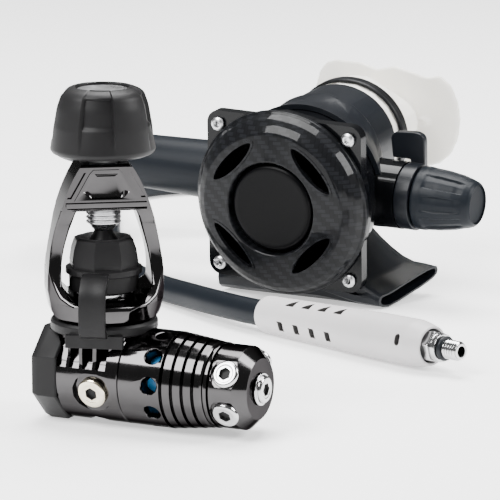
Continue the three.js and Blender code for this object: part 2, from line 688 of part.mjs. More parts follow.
function makeYoke() {
  const shoulder = [YOKE_TOP_HALF_WIDTH + 1.9, YOKE_HEIGHT - 2.6];
  const bulge = [YOKE_HALF_WIDTH, YOKE_BULGE_HEIGHT];
  const front = outline(mirrored([
    [0, 0], [YOKE_HALF_WIDTH - 6, 0], [YOKE_HALF_WIDTH - 2, 3.4],
    ...curvePoints(
      bulge, [YOKE_HALF_WIDTH, YOKE_BULGE_HEIGHT + 22], [YOKE_HALF_WIDTH - 7.2, YOKE_HEIGHT - 13], shoulder,
      10,
    ),
    [YOKE_TOP_HALF_WIDTH, YOKE_HEIGHT],
  ]).slice(1, -1));
  const corner = [WINDOW_TOP_HALF_WIDTH, WINDOW_TOP];
  front.holes.push(outline(mirrored([
    [WINDOW_TOP_HALF_WIDTH - 2, WINDOW_TOP], [corner[0] - 0.3, WINDOW_TOP - 1],
    ...curvePoints([corner[0] + 0.7, WINDOW_TOP - 3.4], [WINDOW_HALF_WIDTH - 2.5, WINDOW_TOP - 16],
      [WINDOW_HALF_WIDTH, YOKE_BULGE_HEIGHT + 16], [WINDOW_HALF_WIDTH, YOKE_BULGE_HEIGHT + 2.4], 8),
    [WINDOW_HALF_WIDTH - 6.6, YOKE_BASE_HEIGHT],
  ])));
  const side = outline(mirrored([
    [YOKE_BASE_RADIUS, 0], [YOKE_BASE_RADIUS, YOKE_BASE_HEIGHT - 1.5],
    ...curvePoints([YOKE_BASE_RADIUS - 1.5, YOKE_BASE_HEIGHT], [YOKE_POST_HALF_DEPTH + 8, YOKE_BASE_HEIGHT + 1],
      [YOKE_POST_HALF_DEPTH, YOKE_BULGE_HEIGHT + 8], [YOKE_POST_HALF_DEPTH, YOKE_BULGE_HEIGHT + 17], 7),
    ...curvePoints([YOKE_POST_HALF_DEPTH, WINDOW_TOP - 16], [YOKE_POST_HALF_DEPTH, WINDOW_TOP - 7],
      [YOKE_BLOCK_HALF_DEPTH, WINDOW_TOP - 7], [YOKE_BLOCK_HALF_DEPTH, WINDOW_TOP - 1], 4),
    [YOKE_BLOCK_HALF_DEPTH, YOKE_HEIGHT - 1.2], [YOKE_BLOCK_HALF_DEPTH - 1.2, YOKE_HEIGHT],
  ]));
  const widest = YOKE_HALF_WIDTH + 1;
  const plan = revolve([
    [0, 0], [YOKE_BASE_RADIUS - 2, 0], [YOKE_BASE_RADIUS, 1.6], [widest, YOKE_BASE_HEIGHT],
    [widest, YOKE_HEIGHT + 1],
    [0, YOKE_HEIGHT + 1],
  ], WIDE_SIDES);
  const depth = YOKE_BASE_RADIUS + 1;
  const frame = common(
    plate(front, -depth, depth),
    plate(side, -widest - 1, widest + 1).rotateZ(Math.PI / 2),
    plan,
  );
  const ledge = YOKE_BLOCK_HALF_DEPTH + LEDGE_RISE;
  const ledgeHalfWidth = WINDOW_TOP_HALF_WIDTH + 4.6;
  const face = YOKE_BLOCK_HALF_DEPTH + PLATE_RISE;
  const plateBase = WINDOW_TOP + LEDGE_HEIGHT + 1;
  const plateShape = outline(mirrored([
    [PLATE_BASE_HALF_WIDTH, plateBase], [PLATE_TOP_HALF_WIDTH + 1, plateBase + PLATE_HEIGHT - 1.6],
    [PLATE_TOP_HALF_WIDTH - 0.6, plateBase + PLATE_HEIGHT],
  ]));
  const hexWidth = PLATE_TOP_HALF_WIDTH + 2.4;
  const hexShape = outline(mirrored([
    [hexWidth - 2.4, plateBase + 1.2], [hexWidth, plateBase + 4.2],
    [PLATE_TOP_HALF_WIDTH - 2, plateBase + PLATE_HEIGHT - 2.2],
  ]));
  const grooveShape = (side_) => outline([
    [side_ * (PLATE_TOP_HALF_WIDTH + 2.6), plateBase + PLATE_HEIGHT - 1],
    [side_ * (PLATE_BASE_HALF_WIDTH + 1.4), plateBase + 1],
    [side_ * (PLATE_BASE_HALF_WIDTH + 3.4), plateBase + 1],
    [side_ * (PLATE_TOP_HALF_WIDTH + 4.8), plateBase + PLATE_HEIGHT - 1.4],
  ]);
  const solid = join(
    frame,
    box([-ledgeHalfWidth, -ledge, WINDOW_TOP], [ledgeHalfWidth, ledge, WINDOW_TOP + LEDGE_HEIGHT]),
    plate(plateShape, -face, face),
  );
  const tools = [rod(SCREW_RADIUS + GAP, WINDOW_TOP - 2, YOKE_HEIGHT + 2), rod(RETAINER_SHANK_RADIUS + GAP, -1, YOKE_BASE_HEIGHT + 1)];
  for (const way of [-1, 1]) {
    const recess = way * (face - PLATE_RECESS);
    tools.push(plate(hexShape, Math.min(recess, way * 30), Math.max(recess, way * 30)));
    const floor = way * (YOKE_BLOCK_HALF_DEPTH - 2);
    tools.push(plate(grooveShape(1), Math.min(floor, way * 30), Math.max(floor, way * 30)));
    tools.push(plate(grooveShape(-1), Math.min(floor, way * 30), Math.max(floor, way * 30)));
  }
  return cut(solid, ...tools).translate(0, 0, YOKE_BASE);
}
addPiece(yokeFrame, 'yoke', makeYoke(), BLACK_CHROME);

function makeRetainer() {
  const foot = YOKE_BASE - RETAINER_DEPTH;
  const top = RETAINER_SEAT + RETAINER_FLANGE;
  return revolve([
    [INLET_RADIUS - 1.6, foot], [RETAINER_SHANK_RADIUS, foot], [RETAINER_SHANK_RADIUS, RETAINER_SEAT],
    [RETAINER_FLANGE_RADIUS, RETAINER_SEAT], [RETAINER_FLANGE_RADIUS, top - 0.6],
    [RETAINER_FLANGE_RADIUS - 0.6, top],
    [INLET_RADIUS + GAP, top], [INLET_RADIUS + GAP, top - FILTER_LENGTH - 2 * GAP],
    [INLET_RADIUS - 1.6, top - FILTER_LENGTH - 2 * GAP],
    [INLET_RADIUS - 1.6, foot],
  ]);
}
addPiece(yokeFrame, 'yoke_retainer', makeRetainer(), CHROME);
addPiece(yokeFrame, 'inlet_filter', revolve([
  [0, RETAINER_SEAT + RETAINER_FLANGE - FILTER_LENGTH - GAP],
  [INLET_RADIUS, RETAINER_SEAT + RETAINER_FLANGE - FILTER_LENGTH - GAP],
  [INLET_RADIUS, RETAINER_SEAT + RETAINER_FLANGE - FILTER_LENGTH + 2],
  [1.6, RETAINER_SEAT + RETAINER_FLANGE - GAP],
  [0, RETAINER_SEAT + RETAINER_FLANGE - GAP],
], FINE_SIDES), BRASS);

const KNOB_BASE = YOKE_TOP + KNOB_LIFT;
const KNOB_SOCKET_RADIUS = SCREW_RADIUS - 1.3;
const SCREW_END = KNOB_BASE + KNOB_SOCKET_DEPTH - GAP;
addPiece(yokeFrame, 'yoke_screw', revolve([
  [0, SCREW_TIP], [SCREW_TIP_RADIUS, SCREW_TIP], [SCREW_RADIUS - 0.8, SCREW_TIP + SCREW_TIP_CONE],
  [SCREW_RADIUS, SCREW_TIP + SCREW_TIP_CONE + 0.8], [SCREW_RADIUS, KNOB_BASE - GAP],
  [KNOB_SOCKET_RADIUS, KNOB_BASE - GAP], [KNOB_SOCKET_RADIUS, SCREW_END], [0, SCREW_END],
]), STEEL);

// Half-profile of the knob from its rim to its top, sunk by a depth that fades out at both ends.
function knobSide(sink) {
  return [
    [KNOB_RADIUS - 0.9, 2.4], [KNOB_RADIUS, 4 + 0.4 * sink], [KNOB_RADIUS - 0.9 - sink, KNOB_HEIGHT * 0.45],
    [KNOB_RADIUS - 2.5 - 1.1 * sink, KNOB_HEIGHT * 0.73], [KNOB_RADIUS - 4.4 - 0.5 * sink, KNOB_HEIGHT - 3.4],
    [KNOB_RADIUS - 6.6 - 0.35 * sink, KNOB_HEIGHT - 1.5], [KNOB_RADIUS - 9 - 0.2 * sink, KNOB_HEIGHT - 0.5],
  ];
}

function makeKnob() {
  const skin = revolve([
    [0, 0], [10.4, 0], [10.4, 1.2],
    [KNOB_RADIUS - 4, 1.2], ...knobSide(0), [KNOB_WELL_RADIUS + 1, KNOB_HEIGHT],
    [KNOB_WELL_RADIUS, KNOB_HEIGHT - 0.4], [KNOB_WELL_RADIUS, KNOB_HEIGHT - KNOB_WELL_DEPTH],
    [0, KNOB_HEIGHT - KNOB_WELL_DEPTH],
  ], WIDE_SIDES);
  const floor = revolve([
    [0, -1],
    [KNOB_RADIUS - 4, -1], ...knobSide(KNOB_FLUTE_DEPTH), [KNOB_WELL_RADIUS + 1.6, KNOB_HEIGHT + 1],
    [0, KNOB_HEIGHT + 1],
  ], WIDE_SIDES);
  const tools = [rod(KNOB_SOCKET_RADIUS + GAP, -1, KNOB_SOCKET_DEPTH, 18)];
  for (let i = 0; i < KNOB_FLUTES; i += 1) {
    const middle = -Math.PI / 2 + KNOB_TURNED_BY + (i * 2 * Math.PI) / KNOB_FLUTES;
    const far = KNOB_RADIUS + 12;
    const [a, b] = [middle - KNOB_FLUTE_HALF_ANGLE, middle + KNOB_FLUTE_HALF_ANGLE];
    const wedge = outline(
      [[0, 0], [far * Math.cos(a), far * Math.sin(a)], [far * Math.cos(b), far * Math.sin(b)]],
    );
    const prism = new THREE.ExtrudeGeometry(wedge, { depth: KNOB_HEIGHT - 3.2, bevelEnabled: false }).translate(0, 0, 2.8);
    tools.push(cut(prism, floor));
  }
  return cut(skin, ...tools).translate(0, 0, KNOB_BASE);
}
addPiece(yokeFrame, 'yoke_knob', makeKnob(), BLACK_RUBBER);
addPiece(yokeFrame, 'knob_top_disc', revolve([
  [0, KNOB_HEIGHT - KNOB_WELL_DEPTH + GAP], [KNOB_WELL_RADIUS - GAP, KNOB_HEIGHT - KNOB_WELL_DEPTH + GAP],
  [KNOB_WELL_RADIUS - GAP, KNOB_HEIGHT - 1.4], [KNOB_WELL_RADIUS - 3, KNOB_HEIGHT - 1], [0, KNOB_HEIGHT - 1],
]).translate(0, 0, KNOB_BASE), STEEL);

function makeDustCap() {
  const flangeFrom = CAP_SKIRT;
  const flangeTo = CAP_SKIRT + CAP_FLANGE;
  const rim = CAP_HEIGHT - CAP_CONE_RISE;
  const lower = revolve([
    [0, 0], [CAP_SKIRT_RADIUS, 0], [CAP_SKIRT_RADIUS, flangeFrom], [CAP_FLANGE_RADIUS, flangeFrom + 0.5],
    [CAP_FLANGE_RADIUS, flangeTo - 0.6], [CAP_FLANGE_RADIUS - 1.4, flangeTo], [0, flangeTo],
  ]);
  const grip = revolve([
    [0, flangeTo - 1], [CAP_FACET_RADIUS, flangeTo - 1], [CAP_FACET_RADIUS + 0.2, flangeTo + 2.5],
    [CAP_FACET_RADIUS - 0.7, rim - 5], [CAP_SHOULDER_RADIUS, rim - 0.8],
    [CAP_SHOULDER_RADIUS - 1.6, rim], [0, rim],
  ], CAP_FACETS).rotateZ(Math.PI / CAP_FACETS);
  const dish = revolve([[0, rim - 1.6], [7.4, rim - 1.6], [11.4, rim + 1], [0, rim + 1]]);
  const cone = revolve([
    [0, rim - 3], [7, rim - 3], [6.4, rim - 1], [CAP_CONE_RADIUS + 0.4, CAP_HEIGHT - 1.4],
    [CAP_CONE_RADIUS, CAP_HEIGHT], [0, CAP_HEIGHT],
  ]);
  const hollow = revolve(
    [[0, -1], [CAP_SKIRT_RADIUS - 2.2, -1], [CAP_SKIRT_RADIUS - 2.6, CAP_SKIRT], [0, CAP_SKIRT]],
  );
  const body = cut(join(lower, grip), dish);
  return cut(join(body, cone), hollow).translate(0, 0, CAP_BASE);
}
addPiece(yokeFrame, 'dust_cap', makeDustCap(), BLACK_RUBBER);

function makeStrap() {
  const ring = revolve([
    [NECK_RADIUS + GAP, COLLAR_TOP + GAP], [STRAP_RING_RADIUS - 0.8, COLLAR_TOP + GAP],
    [STRAP_RING_RADIUS, COLLAR_TOP + GAP + 0.8],
    [STRAP_RING_RADIUS, YOKE_BASE - GAP - 1.4], [STRAP_RING_RADIUS - 1, YOKE_BASE - GAP],
    [NECK_RADIUS + GAP, YOKE_BASE - GAP],
    [NECK_RADIUS + GAP, COLLAR_TOP + GAP],
  ], WIDE_SIDES);
  const flangeMiddle = CAP_BASE + CAP_SKIRT + CAP_FLANGE / 2;
  const front = YOKE_BASE_RADIUS + GAP + STRAP_THICKNESS;
  const route = [
    [CAP_FLANGE_RADIUS + GAP, flangeMiddle], [CAP_FLANGE_RADIUS + 4, flangeMiddle - 0.6],
    [front - 1.5, flangeMiddle - 6],
    [front, YOKE_BASE + YOKE_BASE_HEIGHT], [front, YOKE_BASE + 1], [front - 1.6, COLLAR_TOP + 2.6],
    [STRAP_RING_RADIUS - 2, COLLAR_TOP + 1.8],
  ];
  const half = STRAP_THICKNESS / 2;
  const middle = new THREE.SplineCurve(route.map(([out, height]) => new THREE.Vector2(out, height)));
  const count = 16;
  const [upper, lower] = [[], []];
  for (let i = 0; i <= count; i += 1) {
    const point = middle.getPoint(i / count);
    const tangent = middle.getTangent(i / count);
    upper.push([point.x - tangent.y * half, point.y + tangent.x * half]);
    lower.push([point.x + tangent.y * half, point.y - tangent.x * half]);
  }
  const band = plate(outline([...upper, ...lower.reverse()]), -STRAP_WIDTH / 2, STRAP_WIDTH / 2).rotateZ(-Math.PI / 2);
  const clear = revolve([
    [0, YOKE_BASE - GAP], [YOKE_BASE_RADIUS + GAP, YOKE_BASE - GAP],
    [YOKE_BASE_RADIUS + GAP, YOKE_BASE + YOKE_BASE_HEIGHT],
    [CAP_FLANGE_RADIUS + GAP, CAP_BASE], [CAP_FLANGE_RADIUS + GAP, CAP_BASE + CAP_HEIGHT],
    [0, CAP_BASE + CAP_HEIGHT],
  ], WIDE_SIDES);
  const footInner = COLLAR_RADIUS + 2 * GAP;
  const foot = box(
    [-STRAP_FOOT_WIDTH / 2, -footInner - STRAP_FOOT_THICKNESS, COLLAR_TOP - STRAP_FOOT_DROP],
    [STRAP_FOOT_WIDTH / 2, -footInner, COLLAR_TOP + 2],
  );
  return join(ring, cut(band, clear), foot).rotateZ(STRAP_TURNED_BY);
}
addPiece(yokeFrame, 'dust_cap_strap', makeStrap(), BLACK_RUBBER);

// ---------------------------------------------------------------------------------------------
// Second stage: +X along the valve barrel to the right, +Y towards the mouth, +Z up
// ---------------------------------------------------------------------------------------------
const secondStage = new THREE.Group();
secondStage.position.set(SECOND_STAGE_AT[0], SECOND_STAGE_AT[1], 0);
secondStage.rotation.z = SECOND_STAGE_YAW;
const caseFrame = new THREE.Group();
caseFrame.position.z = SCREW_PLANE_HEIGHT;
caseFrame.rotation.set(SECOND_STAGE_PITCH, SECOND_STAGE_ROLL, 0);
secondStage.add(caseFrame);

const SCREW_SIDES = [[1, 1], [-1, 1], [-1, -1], [1, -1]];
const HALF_SPACING = SCREW_SPACING / 2;
const FRAME_FRONT = -1.2;
const FRAME_BACK = FRAME_FRONT + FRAME_THICKNESS;
const barrelPlace = (geometry) => geometry.translate(0, BARREL_AT, 0);

// The case's skin from the frame back to the mouth tube, grown or shrunk by an amount.
function caseLoft(grow, from, to) {
  const slope = [[0.435, 0.907, 0.89, 0.03], [0.61, 0.84, 0.82, 0.2], [0.76, 0.745, 0.725, 0.47]];
  const stations = [
    [from, FRAME_RADIUS * 0.936, FRAME_RADIUS * 0.936, 0],
    ...slope.map(([along, wide, high, rise]) => [
      CASE_NECK_AT * along, FRAME_RADIUS * wide, FRAME_RADIUS * high, MOUTH_HEIGHT * rise,
    ]),
    [CASE_NECK_AT * 0.913, MOUTH_HALF_WIDTH * 1.15, MOUTH_HALF_HEIGHT * 1.14, MOUTH_HEIGHT * 0.8],
    [CASE_NECK_AT, MOUTH_HALF_WIDTH, MOUTH_HALF_HEIGHT, MOUTH_HEIGHT],
    [to, MOUTH_HALF_WIDTH, MOUTH_HALF_HEIGHT, MOUTH_HEIGHT],
  ];
  return loft(
    stations.map(
      ([y, halfWidth, halfHeight, height]) => oval(y, halfWidth + grow, halfHeight + grow, height),
    ),
  );
}

function makeFrame(grow = 0) {
  const half = HALF_SPACING + EAR_RADIUS + grow;
  const round = EAR_RADIUS + grow;
  const square = new THREE.Shape();
  square.absarc(half - round, half - round, round, 0, Math.PI / 2);
  square.absarc(round - half, half - round, round, Math.PI / 2, Math.PI);
  square.absarc(round - half, round - half, round, Math.PI, 1.5 * Math.PI);
  square.absarc(half - round, round - half, round, 1.5 * Math.PI, 2 * Math.PI);
  return join(
    plate(square, FRAME_FRONT - grow, FRAME_BACK + grow, 5),
    alongY(rod(FRAME_RADIUS + grow, FRAME_FRONT - grow, FRAME_BACK + grow, WIDE_SIDES)),
  );
}

const PORT_FACE = -FRAME_RADIUS + 4;
const portPlace = (geometry) => geometry.translate(0, EXHAUST_PORT_AT, 0);

function makeCase() {
  const shell = join(
    makeFrame(),
    caseLoft(0, FRAME_BACK - 1, MOUTH_TUBE_END),
    barrelPlace(alongX(rod(BARREL_RADIUS, -BARREL_HALF_LENGTH, BARREL_HALF_LENGTH, WIDE_SIDES))),
    portPlace(rod(EXHAUST_PORT_RADIUS + CASE_WALL, PORT_FACE, -24)),
  );
  const spiderHeight = 1.6;
  const port = portPlace(rod(EXHAUST_PORT_RADIUS, PORT_FACE - 1, -20));
  const spider = cut(join(
    box(
      [-EXHAUST_PORT_RADIUS - 1, -1.2, PORT_FACE], [EXHAUST_PORT_RADIUS + 1, 1.2, PORT_FACE + spiderHeight],
    ),
    box(
      [-1.2, -EXHAUST_PORT_RADIUS - 1, PORT_FACE], [1.2, EXHAUST_PORT_RADIUS + 1, PORT_FACE + spiderHeight],
    ),
    rod(4, PORT_FACE, PORT_FACE + spiderHeight),
  ), rod(1.7, PORT_FACE - 1, PORT_FACE + spiderHeight + 1, FINE_SIDES));
  const tools = [
    caseLoft(-CASE_WALL, FRAME_FRONT - 2, MOUTH_TUBE_END + 1),
    alongY(rod(DIAPHRAGM_RADIUS + GAP, FRAME_FRONT - 1, DIAPHRAGM_AT + 1.5, WIDE_SIDES)),
    barrelPlace(alongX(rod(VALVE_TUBE_RADIUS + GAP, -BARREL_HALF_LENGTH - 1, BARREL_HALF_LENGTH + 1))),
    cut(port, portPlace(spider)),
  ];
  for (const [sideX, sideZ] of SCREW_SIDES) {
    const bore = alongY(rod(SCREW_SHANK_RADIUS + GAP, FRAME_FRONT - 1, FRAME_BACK - 1, FINE_SIDES));
    tools.push(bore.translate(sideX * HALF_SPACING, 0, sideZ * HALF_SPACING));
  }
  return cut(shell, ...tools);
}
addPiece(caseFrame, 'second_stage_case', makeCase(), GLOSS_BLACK);

// Heights of the front cover and button are measured forwards, towards -Y.
const forwards = (geometry) => geometry.rotateX(Math.PI / 2);
const BUTTON_WELL = BUTTON_RADIUS + BUTTON_CLEARANCE;

function slotOutline(angle) {
  const count = 7;
  const place = (along, out) => [
    (SLOT_RADIUS + out) * Math.cos(angle) - along * (SLOT_LENGTH / 2) * Math.sin(angle),
    (SLOT_RADIUS + out) * Math.sin(angle) + along * (SLOT_LENGTH / 2) * Math.cos(angle),
  ];
  const [outer, inner] = [[], []];
  for (let i = 0; i <= count; i += 1) {
    const along = (2 * i) / count - 1;
    const half = (SLOT_WIDTH / 2) * (1 - along ** 2) + 0.15;
    outer.push(place(along, half));
    inner.push(place(along, -half));
  }
  return outline([...outer, ...inner.reverse()]);
}

function makeCover() {
  const base = -FRAME_FRONT + GAP;
  const curve = [
    [COVER_RADIUS, base], [COVER_RADIUS - 0.5, 4], [COVER_RADIUS - 2.5, 8],
    [COVER_RADIUS - 6.5, COVER_RISE - 5.5],
    [COVER_RADIUS - 12.5, COVER_RISE - 2.5], [COVER_RADIUS - 20.5, COVER_RISE - 0.5],
    [BUTTON_WELL + 0.5, COVER_RISE],
  ];
  const under = curve.map(([radius, height]) => [radius - 0.7 * COVER_WALL, height - 0.9 * COVER_WALL]);
  const shell = forwards(revolve([
    ...curve, [BUTTON_WELL, COVER_RISE - 0.5], [BUTTON_WELL, COVER_RISE - 7], [BUTTON_WELL + COVER_WALL, COVER_RISE - 7],
    [BUTTON_WELL + COVER_WALL, COVER_RISE - COVER_WALL], ...under.slice(1, -1).reverse(), [COVER_RADIUS - COVER_WALL, base],
    [COVER_RADIUS, base],
  ], WIDE_SIDES));
  const slots = [1, 3, 5, 7].map((eighth) => plate(slotOutline((eighth * Math.PI) / 4), -COVER_RISE - 3, -5));
  return cut(shell, ...slots);
}
addPiece(caseFrame, 'front_cover', makeCover(), CARBON);

const BUTTON_FACE = COVER_RISE - 1.5;
const PLATE_FACE = DIAPHRAGM_AT - 0.6;
addPiece(caseFrame, 'purge_button', forwards(revolve([
  [0, -(PLATE_FACE - GAP)], [3.6, -(PLATE_FACE - GAP)], [3.6, BUTTON_FACE - BUTTON_THICKNESS],
  [BUTTON_RADIUS, BUTTON_FACE - BUTTON_THICKNESS],
  [BUTTON_RADIUS, BUTTON_FACE - 1], [BUTTON_RADIUS - 1, BUTTON_FACE - 0.1],
  [BUTTON_RADIUS - 7, BUTTON_FACE], [0, BUTTON_FACE - 0.6],
])), BLACK_PLASTIC);

SCREW_SIDES.forEach(([sideX, sideZ], i) => {
  const seat = -FRAME_FRONT + GAP;
  const screw = forwards(revolve([
    [0, -(FRAME_BACK - 2)], [SCREW_SHANK_RADIUS, -(FRAME_BACK - 2)], [SCREW_SHANK_RADIUS, seat],
    [SCREW_HEAD_RADIUS, seat],
    [SCREW_HEAD_RADIUS, seat + SCREW_HEAD - 0.9], [SCREW_HEAD_RADIUS - 1, seat + SCREW_HEAD - 0.2],
    [SCREW_HEAD_RADIUS - 1.6, seat + SCREW_HEAD], [0, seat + SCREW_HEAD],
  ], FINE_SIDES));
  const driven = cut(screw, forwards(hexagon(3, seat + SCREW_HEAD - 1.6, seat + SCREW_HEAD + 1)));
  addPiece(
    caseFrame, `cover_screw_${i + 1}`, driven.translate(sideX * HALF_SPACING, 0, sideZ * HALF_SPACING),
    STEEL,
  );
});

addPiece(caseFrame, 'diaphragm', alongY(revolve([
  [DIAPHRAGM_PLATE_RADIUS + GAP, DIAPHRAGM_AT - 0.5], [DIAPHRAGM_RADIUS - 12, DIAPHRAGM_AT - 0.5],
  [DIAPHRAGM_RADIUS - 9, DIAPHRAGM_AT - 3],
  [DIAPHRAGM_RADIUS - 6, DIAPHRAGM_AT - 0.5], [DIAPHRAGM_RADIUS, DIAPHRAGM_AT - 0.5],
  [DIAPHRAGM_RADIUS, DIAPHRAGM_AT + 0.7],
  [DIAPHRAGM_RADIUS - 6.6, DIAPHRAGM_AT + 0.7], [DIAPHRAGM_RADIUS - 9, DIAPHRAGM_AT - 1.4],
  [DIAPHRAGM_RADIUS - 11.4, DIAPHRAGM_AT + 0.7],
  [DIAPHRAGM_PLATE_RADIUS + GAP, DIAPHRAGM_AT + 0.7], [DIAPHRAGM_PLATE_RADIUS + GAP, DIAPHRAGM_AT - 0.5],
], WIDE_SIDES)), SILICONE);
addPiece(
  caseFrame, 'diaphragm_plate', alongY(rod(DIAPHRAGM_PLATE_RADIUS, PLATE_FACE, PLATE_FACE + 1.2)), STEEL,
);

// The demand valve inside the barrel: a lever turns about a pin along Z and draws the poppet to +X.
const TUBE_INSIDE = VALVE_TUBE_RADIUS - VALVE_TUBE_WALL;
const LEVER_PIN_AT = BARREL_HALF_LENGTH * 0.385;
const LEVER_PIN_Y = BARREL_AT - VALVE_TUBE_RADIUS - 2.2;
const POPPET_FOOT = LEVER_PIN_AT + 1.6;
const INHALE_STEM_TIP = BARREL_HALF_LENGTH - 8;

addPiece(caseFrame, 'valve_tube', cut(
  barrelPlace(alongX(tube(VALVE_TUBE_RADIUS, TUBE_INSIDE, -BARREL_HALF_LENGTH, BARREL_HALF_LENGTH))),
  box(
    [LEVER_PIN_AT - 4, BARREL_AT - VALVE_TUBE_RADIUS - 1, -3.2],
    [LEVER_PIN_AT + 4, BARREL_AT - TUBE_INSIDE + 2, 3.2],
  ),
  box([-28, BARREL_AT + TUBE_INSIDE - 2, -3], [-14, BARREL_AT + VALVE_TUBE_RADIUS + 1, 3]),
), CHROME);
addPiece(caseFrame, 'demand_poppet', barrelPlace(alongX(revolve([
  [0, -BARREL_HALF_LENGTH + 10], [POPPET_RADIUS, -BARREL_HALF_LENGTH + 10],
  [POPPET_RADIUS, -BARREL_HALF_LENGTH + 18],
  [2.8, -BARREL_HALF_LENGTH + 19], [2.8, POPPET_FOOT], [POPPET_RADIUS, POPPET_FOOT],
  [POPPET_RADIUS, POPPET_FOOT + 4],
  [0, POPPET_FOOT + 4],
]))), BLUE_PLASTIC);
addPiece(
  caseFrame, 'poppet_spring',
  barrelPlace(coilSpring(4, 0.7, 5, POPPET_FOOT + 4 + GAP, INHALE_STEM_TIP - POPPET_LIFT - GAP)), STEEL,
);

function makeLever() {
  const tip = [LEVER_PIN_AT - LEVER_REACH, PLATE_FACE + 1.2 + GAP];
  const arm = outline([
    [tip[0], tip[1]], [tip[0] + 1, tip[1]], [tip[0] + 4, tip[1] + 0.7],
    [LEVER_PIN_AT + 1, LEVER_PIN_Y - 1.6], [LEVER_PIN_AT + 1, BARREL_AT - 4.6],
    [LEVER_PIN_AT - 1, BARREL_AT - 4.6], [LEVER_PIN_AT - 1, LEVER_PIN_Y + 1.4], [tip[0], tip[1] + 1.8],
  ]);
  return new THREE.ExtrudeGeometry(arm, { depth: 5, bevelEnabled: false }).translate(0, 0, -2.5);
}
addPiece(caseFrame, 'demand_lever', join(
  makeLever(), rod(1.5, -4.5, 4.5, FINE_SIDES).translate(LEVER_PIN_AT, LEVER_PIN_Y, 0),
), STEEL);

// Shroud, mouthpiece and its clamp round the mouth tube
const ovalPipe = (rings, holes) => cut(
  loft(rings.map(([y, x, z]) => oval(y, x, z, MOUTH_HEIGHT))), loft(holes.map(([y, x, z]) => oval(y, x, z, MOUTH_HEIGHT))),
);
const [TUBE_X, TUBE_Z] = [MOUTH_HALF_WIDTH + GAP, MOUTH_HALF_HEIGHT + GAP];
function makeShroud() {
  const reach = 2 * FRAME_RADIUS;
  const skin = caseLoft(SHROUD_WALL, FRAME_BACK, MOUTH_TUBE_END);
  const slab = box([-reach, SHROUD_FROM, -reach], [reach, SHROUD_TO, reach]);
  return cut(
    common(skin, slab),
    caseLoft(GAP, FRAME_BACK - 2, MOUTH_TUBE_END + 2),
    barrelPlace(alongX(rod(BARREL_RADIUS + GAP, -reach, reach, WIDE_SIDES))),
    box([-reach, 0, -reach], [reach, CASE_NECK_AT, 0]),
  );
}
addPiece(caseFrame, 'mouth_shroud', makeShroud(), BLUE_BLACK);

function makeMouthpiece() {
  const stations = 14;
  const flange = [];
  for (let i = 0; i <= stations; i += 1) {
    const along = Math.sin(((i / stations) * 2 - 1) * (Math.PI / 2) * 0.985);
    const x = FLANGE_HALF_WIDTH * along;
    const notch = 7 * Math.exp(-((x / 7) ** 2));
    const half = Math.max(3, (FLANGE_HALF_HEIGHT - notch) * (1 - along ** 6) ** 0.5);
    const y = FLANGE_AT + 0.006 * x ** 2;
    const [thin, low, high] = [FLANGE_THICKNESS / 2, MOUTH_HEIGHT - half, MOUTH_HEIGHT + half];
    flange.push([
      [-thin, low + 1], [0, low], [thin, low + 1], [thin, high - 1], [0, high], [-thin, high - 1],
    ].map(([off, z]) => new THREE.Vector3(x, y + off, z)));
  }
  const [neckX, neckZ] = [TUBE_X + NECK_WALL, TUBE_Z + NECK_WALL];
  const skin = [
    [NECK_FROM, neckX, neckZ], [MOUTH_TUBE_END, neckX, neckZ], [MOUTH_TUBE_END + 5, neckX - 0.5, neckZ - 1.5],
    [FLANGE_AT - 3, AIRWAY_HALF_WIDTH + 8, AIRWAY_HALF_HEIGHT + 8],
    [MOUTHPIECE_END, AIRWAY_HALF_WIDTH + 2.8, AIRWAY_HALF_HEIGHT + 2.8],
  ].map(([y, x, z]) => oval(y, x, z, MOUTH_HEIGHT));
  const airway = [
    [NECK_FROM - 1, TUBE_X, TUBE_Z], [MOUTH_TUBE_END + GAP, TUBE_X, TUBE_Z],
    [MOUTH_TUBE_END + 5, neckX - 3.5, neckZ - 4.5],
    [FLANGE_AT - 3, AIRWAY_HALF_WIDTH, AIRWAY_HALF_HEIGHT],
    [MOUTHPIECE_END + 1, AIRWAY_HALF_WIDTH, AIRWAY_HALF_HEIGHT],
  ].map(([y, x, z]) => oval(y, x, z, MOUTH_HEIGHT));
  const tabs = [-1, 1].map((sideX) => {
    const rings = [
      [FLANGE_AT + 1, 6, 2], [MOUTHPIECE_END + 4, 5.4, 1.6], [MOUTHPIECE_END + 10, 5.4, 1.6],
      [MOUTHPIECE_END + 12, 5.8, 4.4], [MOUTHPIECE_END + 14, 5.2, 4],
    ];
    return loft(rings.map(([y, x, z]) => oval(y, x, z, MOUTH_HEIGHT, 3, FINE_SIDES))).translate(sideX * (AIRWAY_HALF_WIDTH + 6), 0, 0);
  });
  return cut(join(loft(skin), loft(flange), ...tabs), loft(airway));
}
addPiece(caseFrame, 'mouthpiece', makeMouthpiece(), SILICONE);

const [CLAMP_X, CLAMP_Z] = [TUBE_X + NECK_WALL + GAP, TUBE_Z + NECK_WALL + GAP];
addPiece(caseFrame, 'mouthpiece_clamp', ovalPipe([
  [CLAMP_FROM, CLAMP_X + CLAMP_WALL - 0.5, CLAMP_Z + CLAMP_WALL - 0.5],
  [CLAMP_FROM + 0.8, CLAMP_X + CLAMP_WALL, CLAMP_Z + CLAMP_WALL],
  [CLAMP_FROM + CLAMP_WIDTH - 0.8, CLAMP_X + CLAMP_WALL, CLAMP_Z + CLAMP_WALL],
  [CLAMP_FROM + CLAMP_WIDTH, CLAMP_X + CLAMP_WALL - 0.5, CLAMP_Z + CLAMP_WALL - 0.5],
], [[CLAMP_FROM - 1, CLAMP_X, CLAMP_Z], [CLAMP_FROM + CLAMP_WIDTH + 1, CLAMP_X, CLAMP_Z]]), BLACK_PLASTIC);

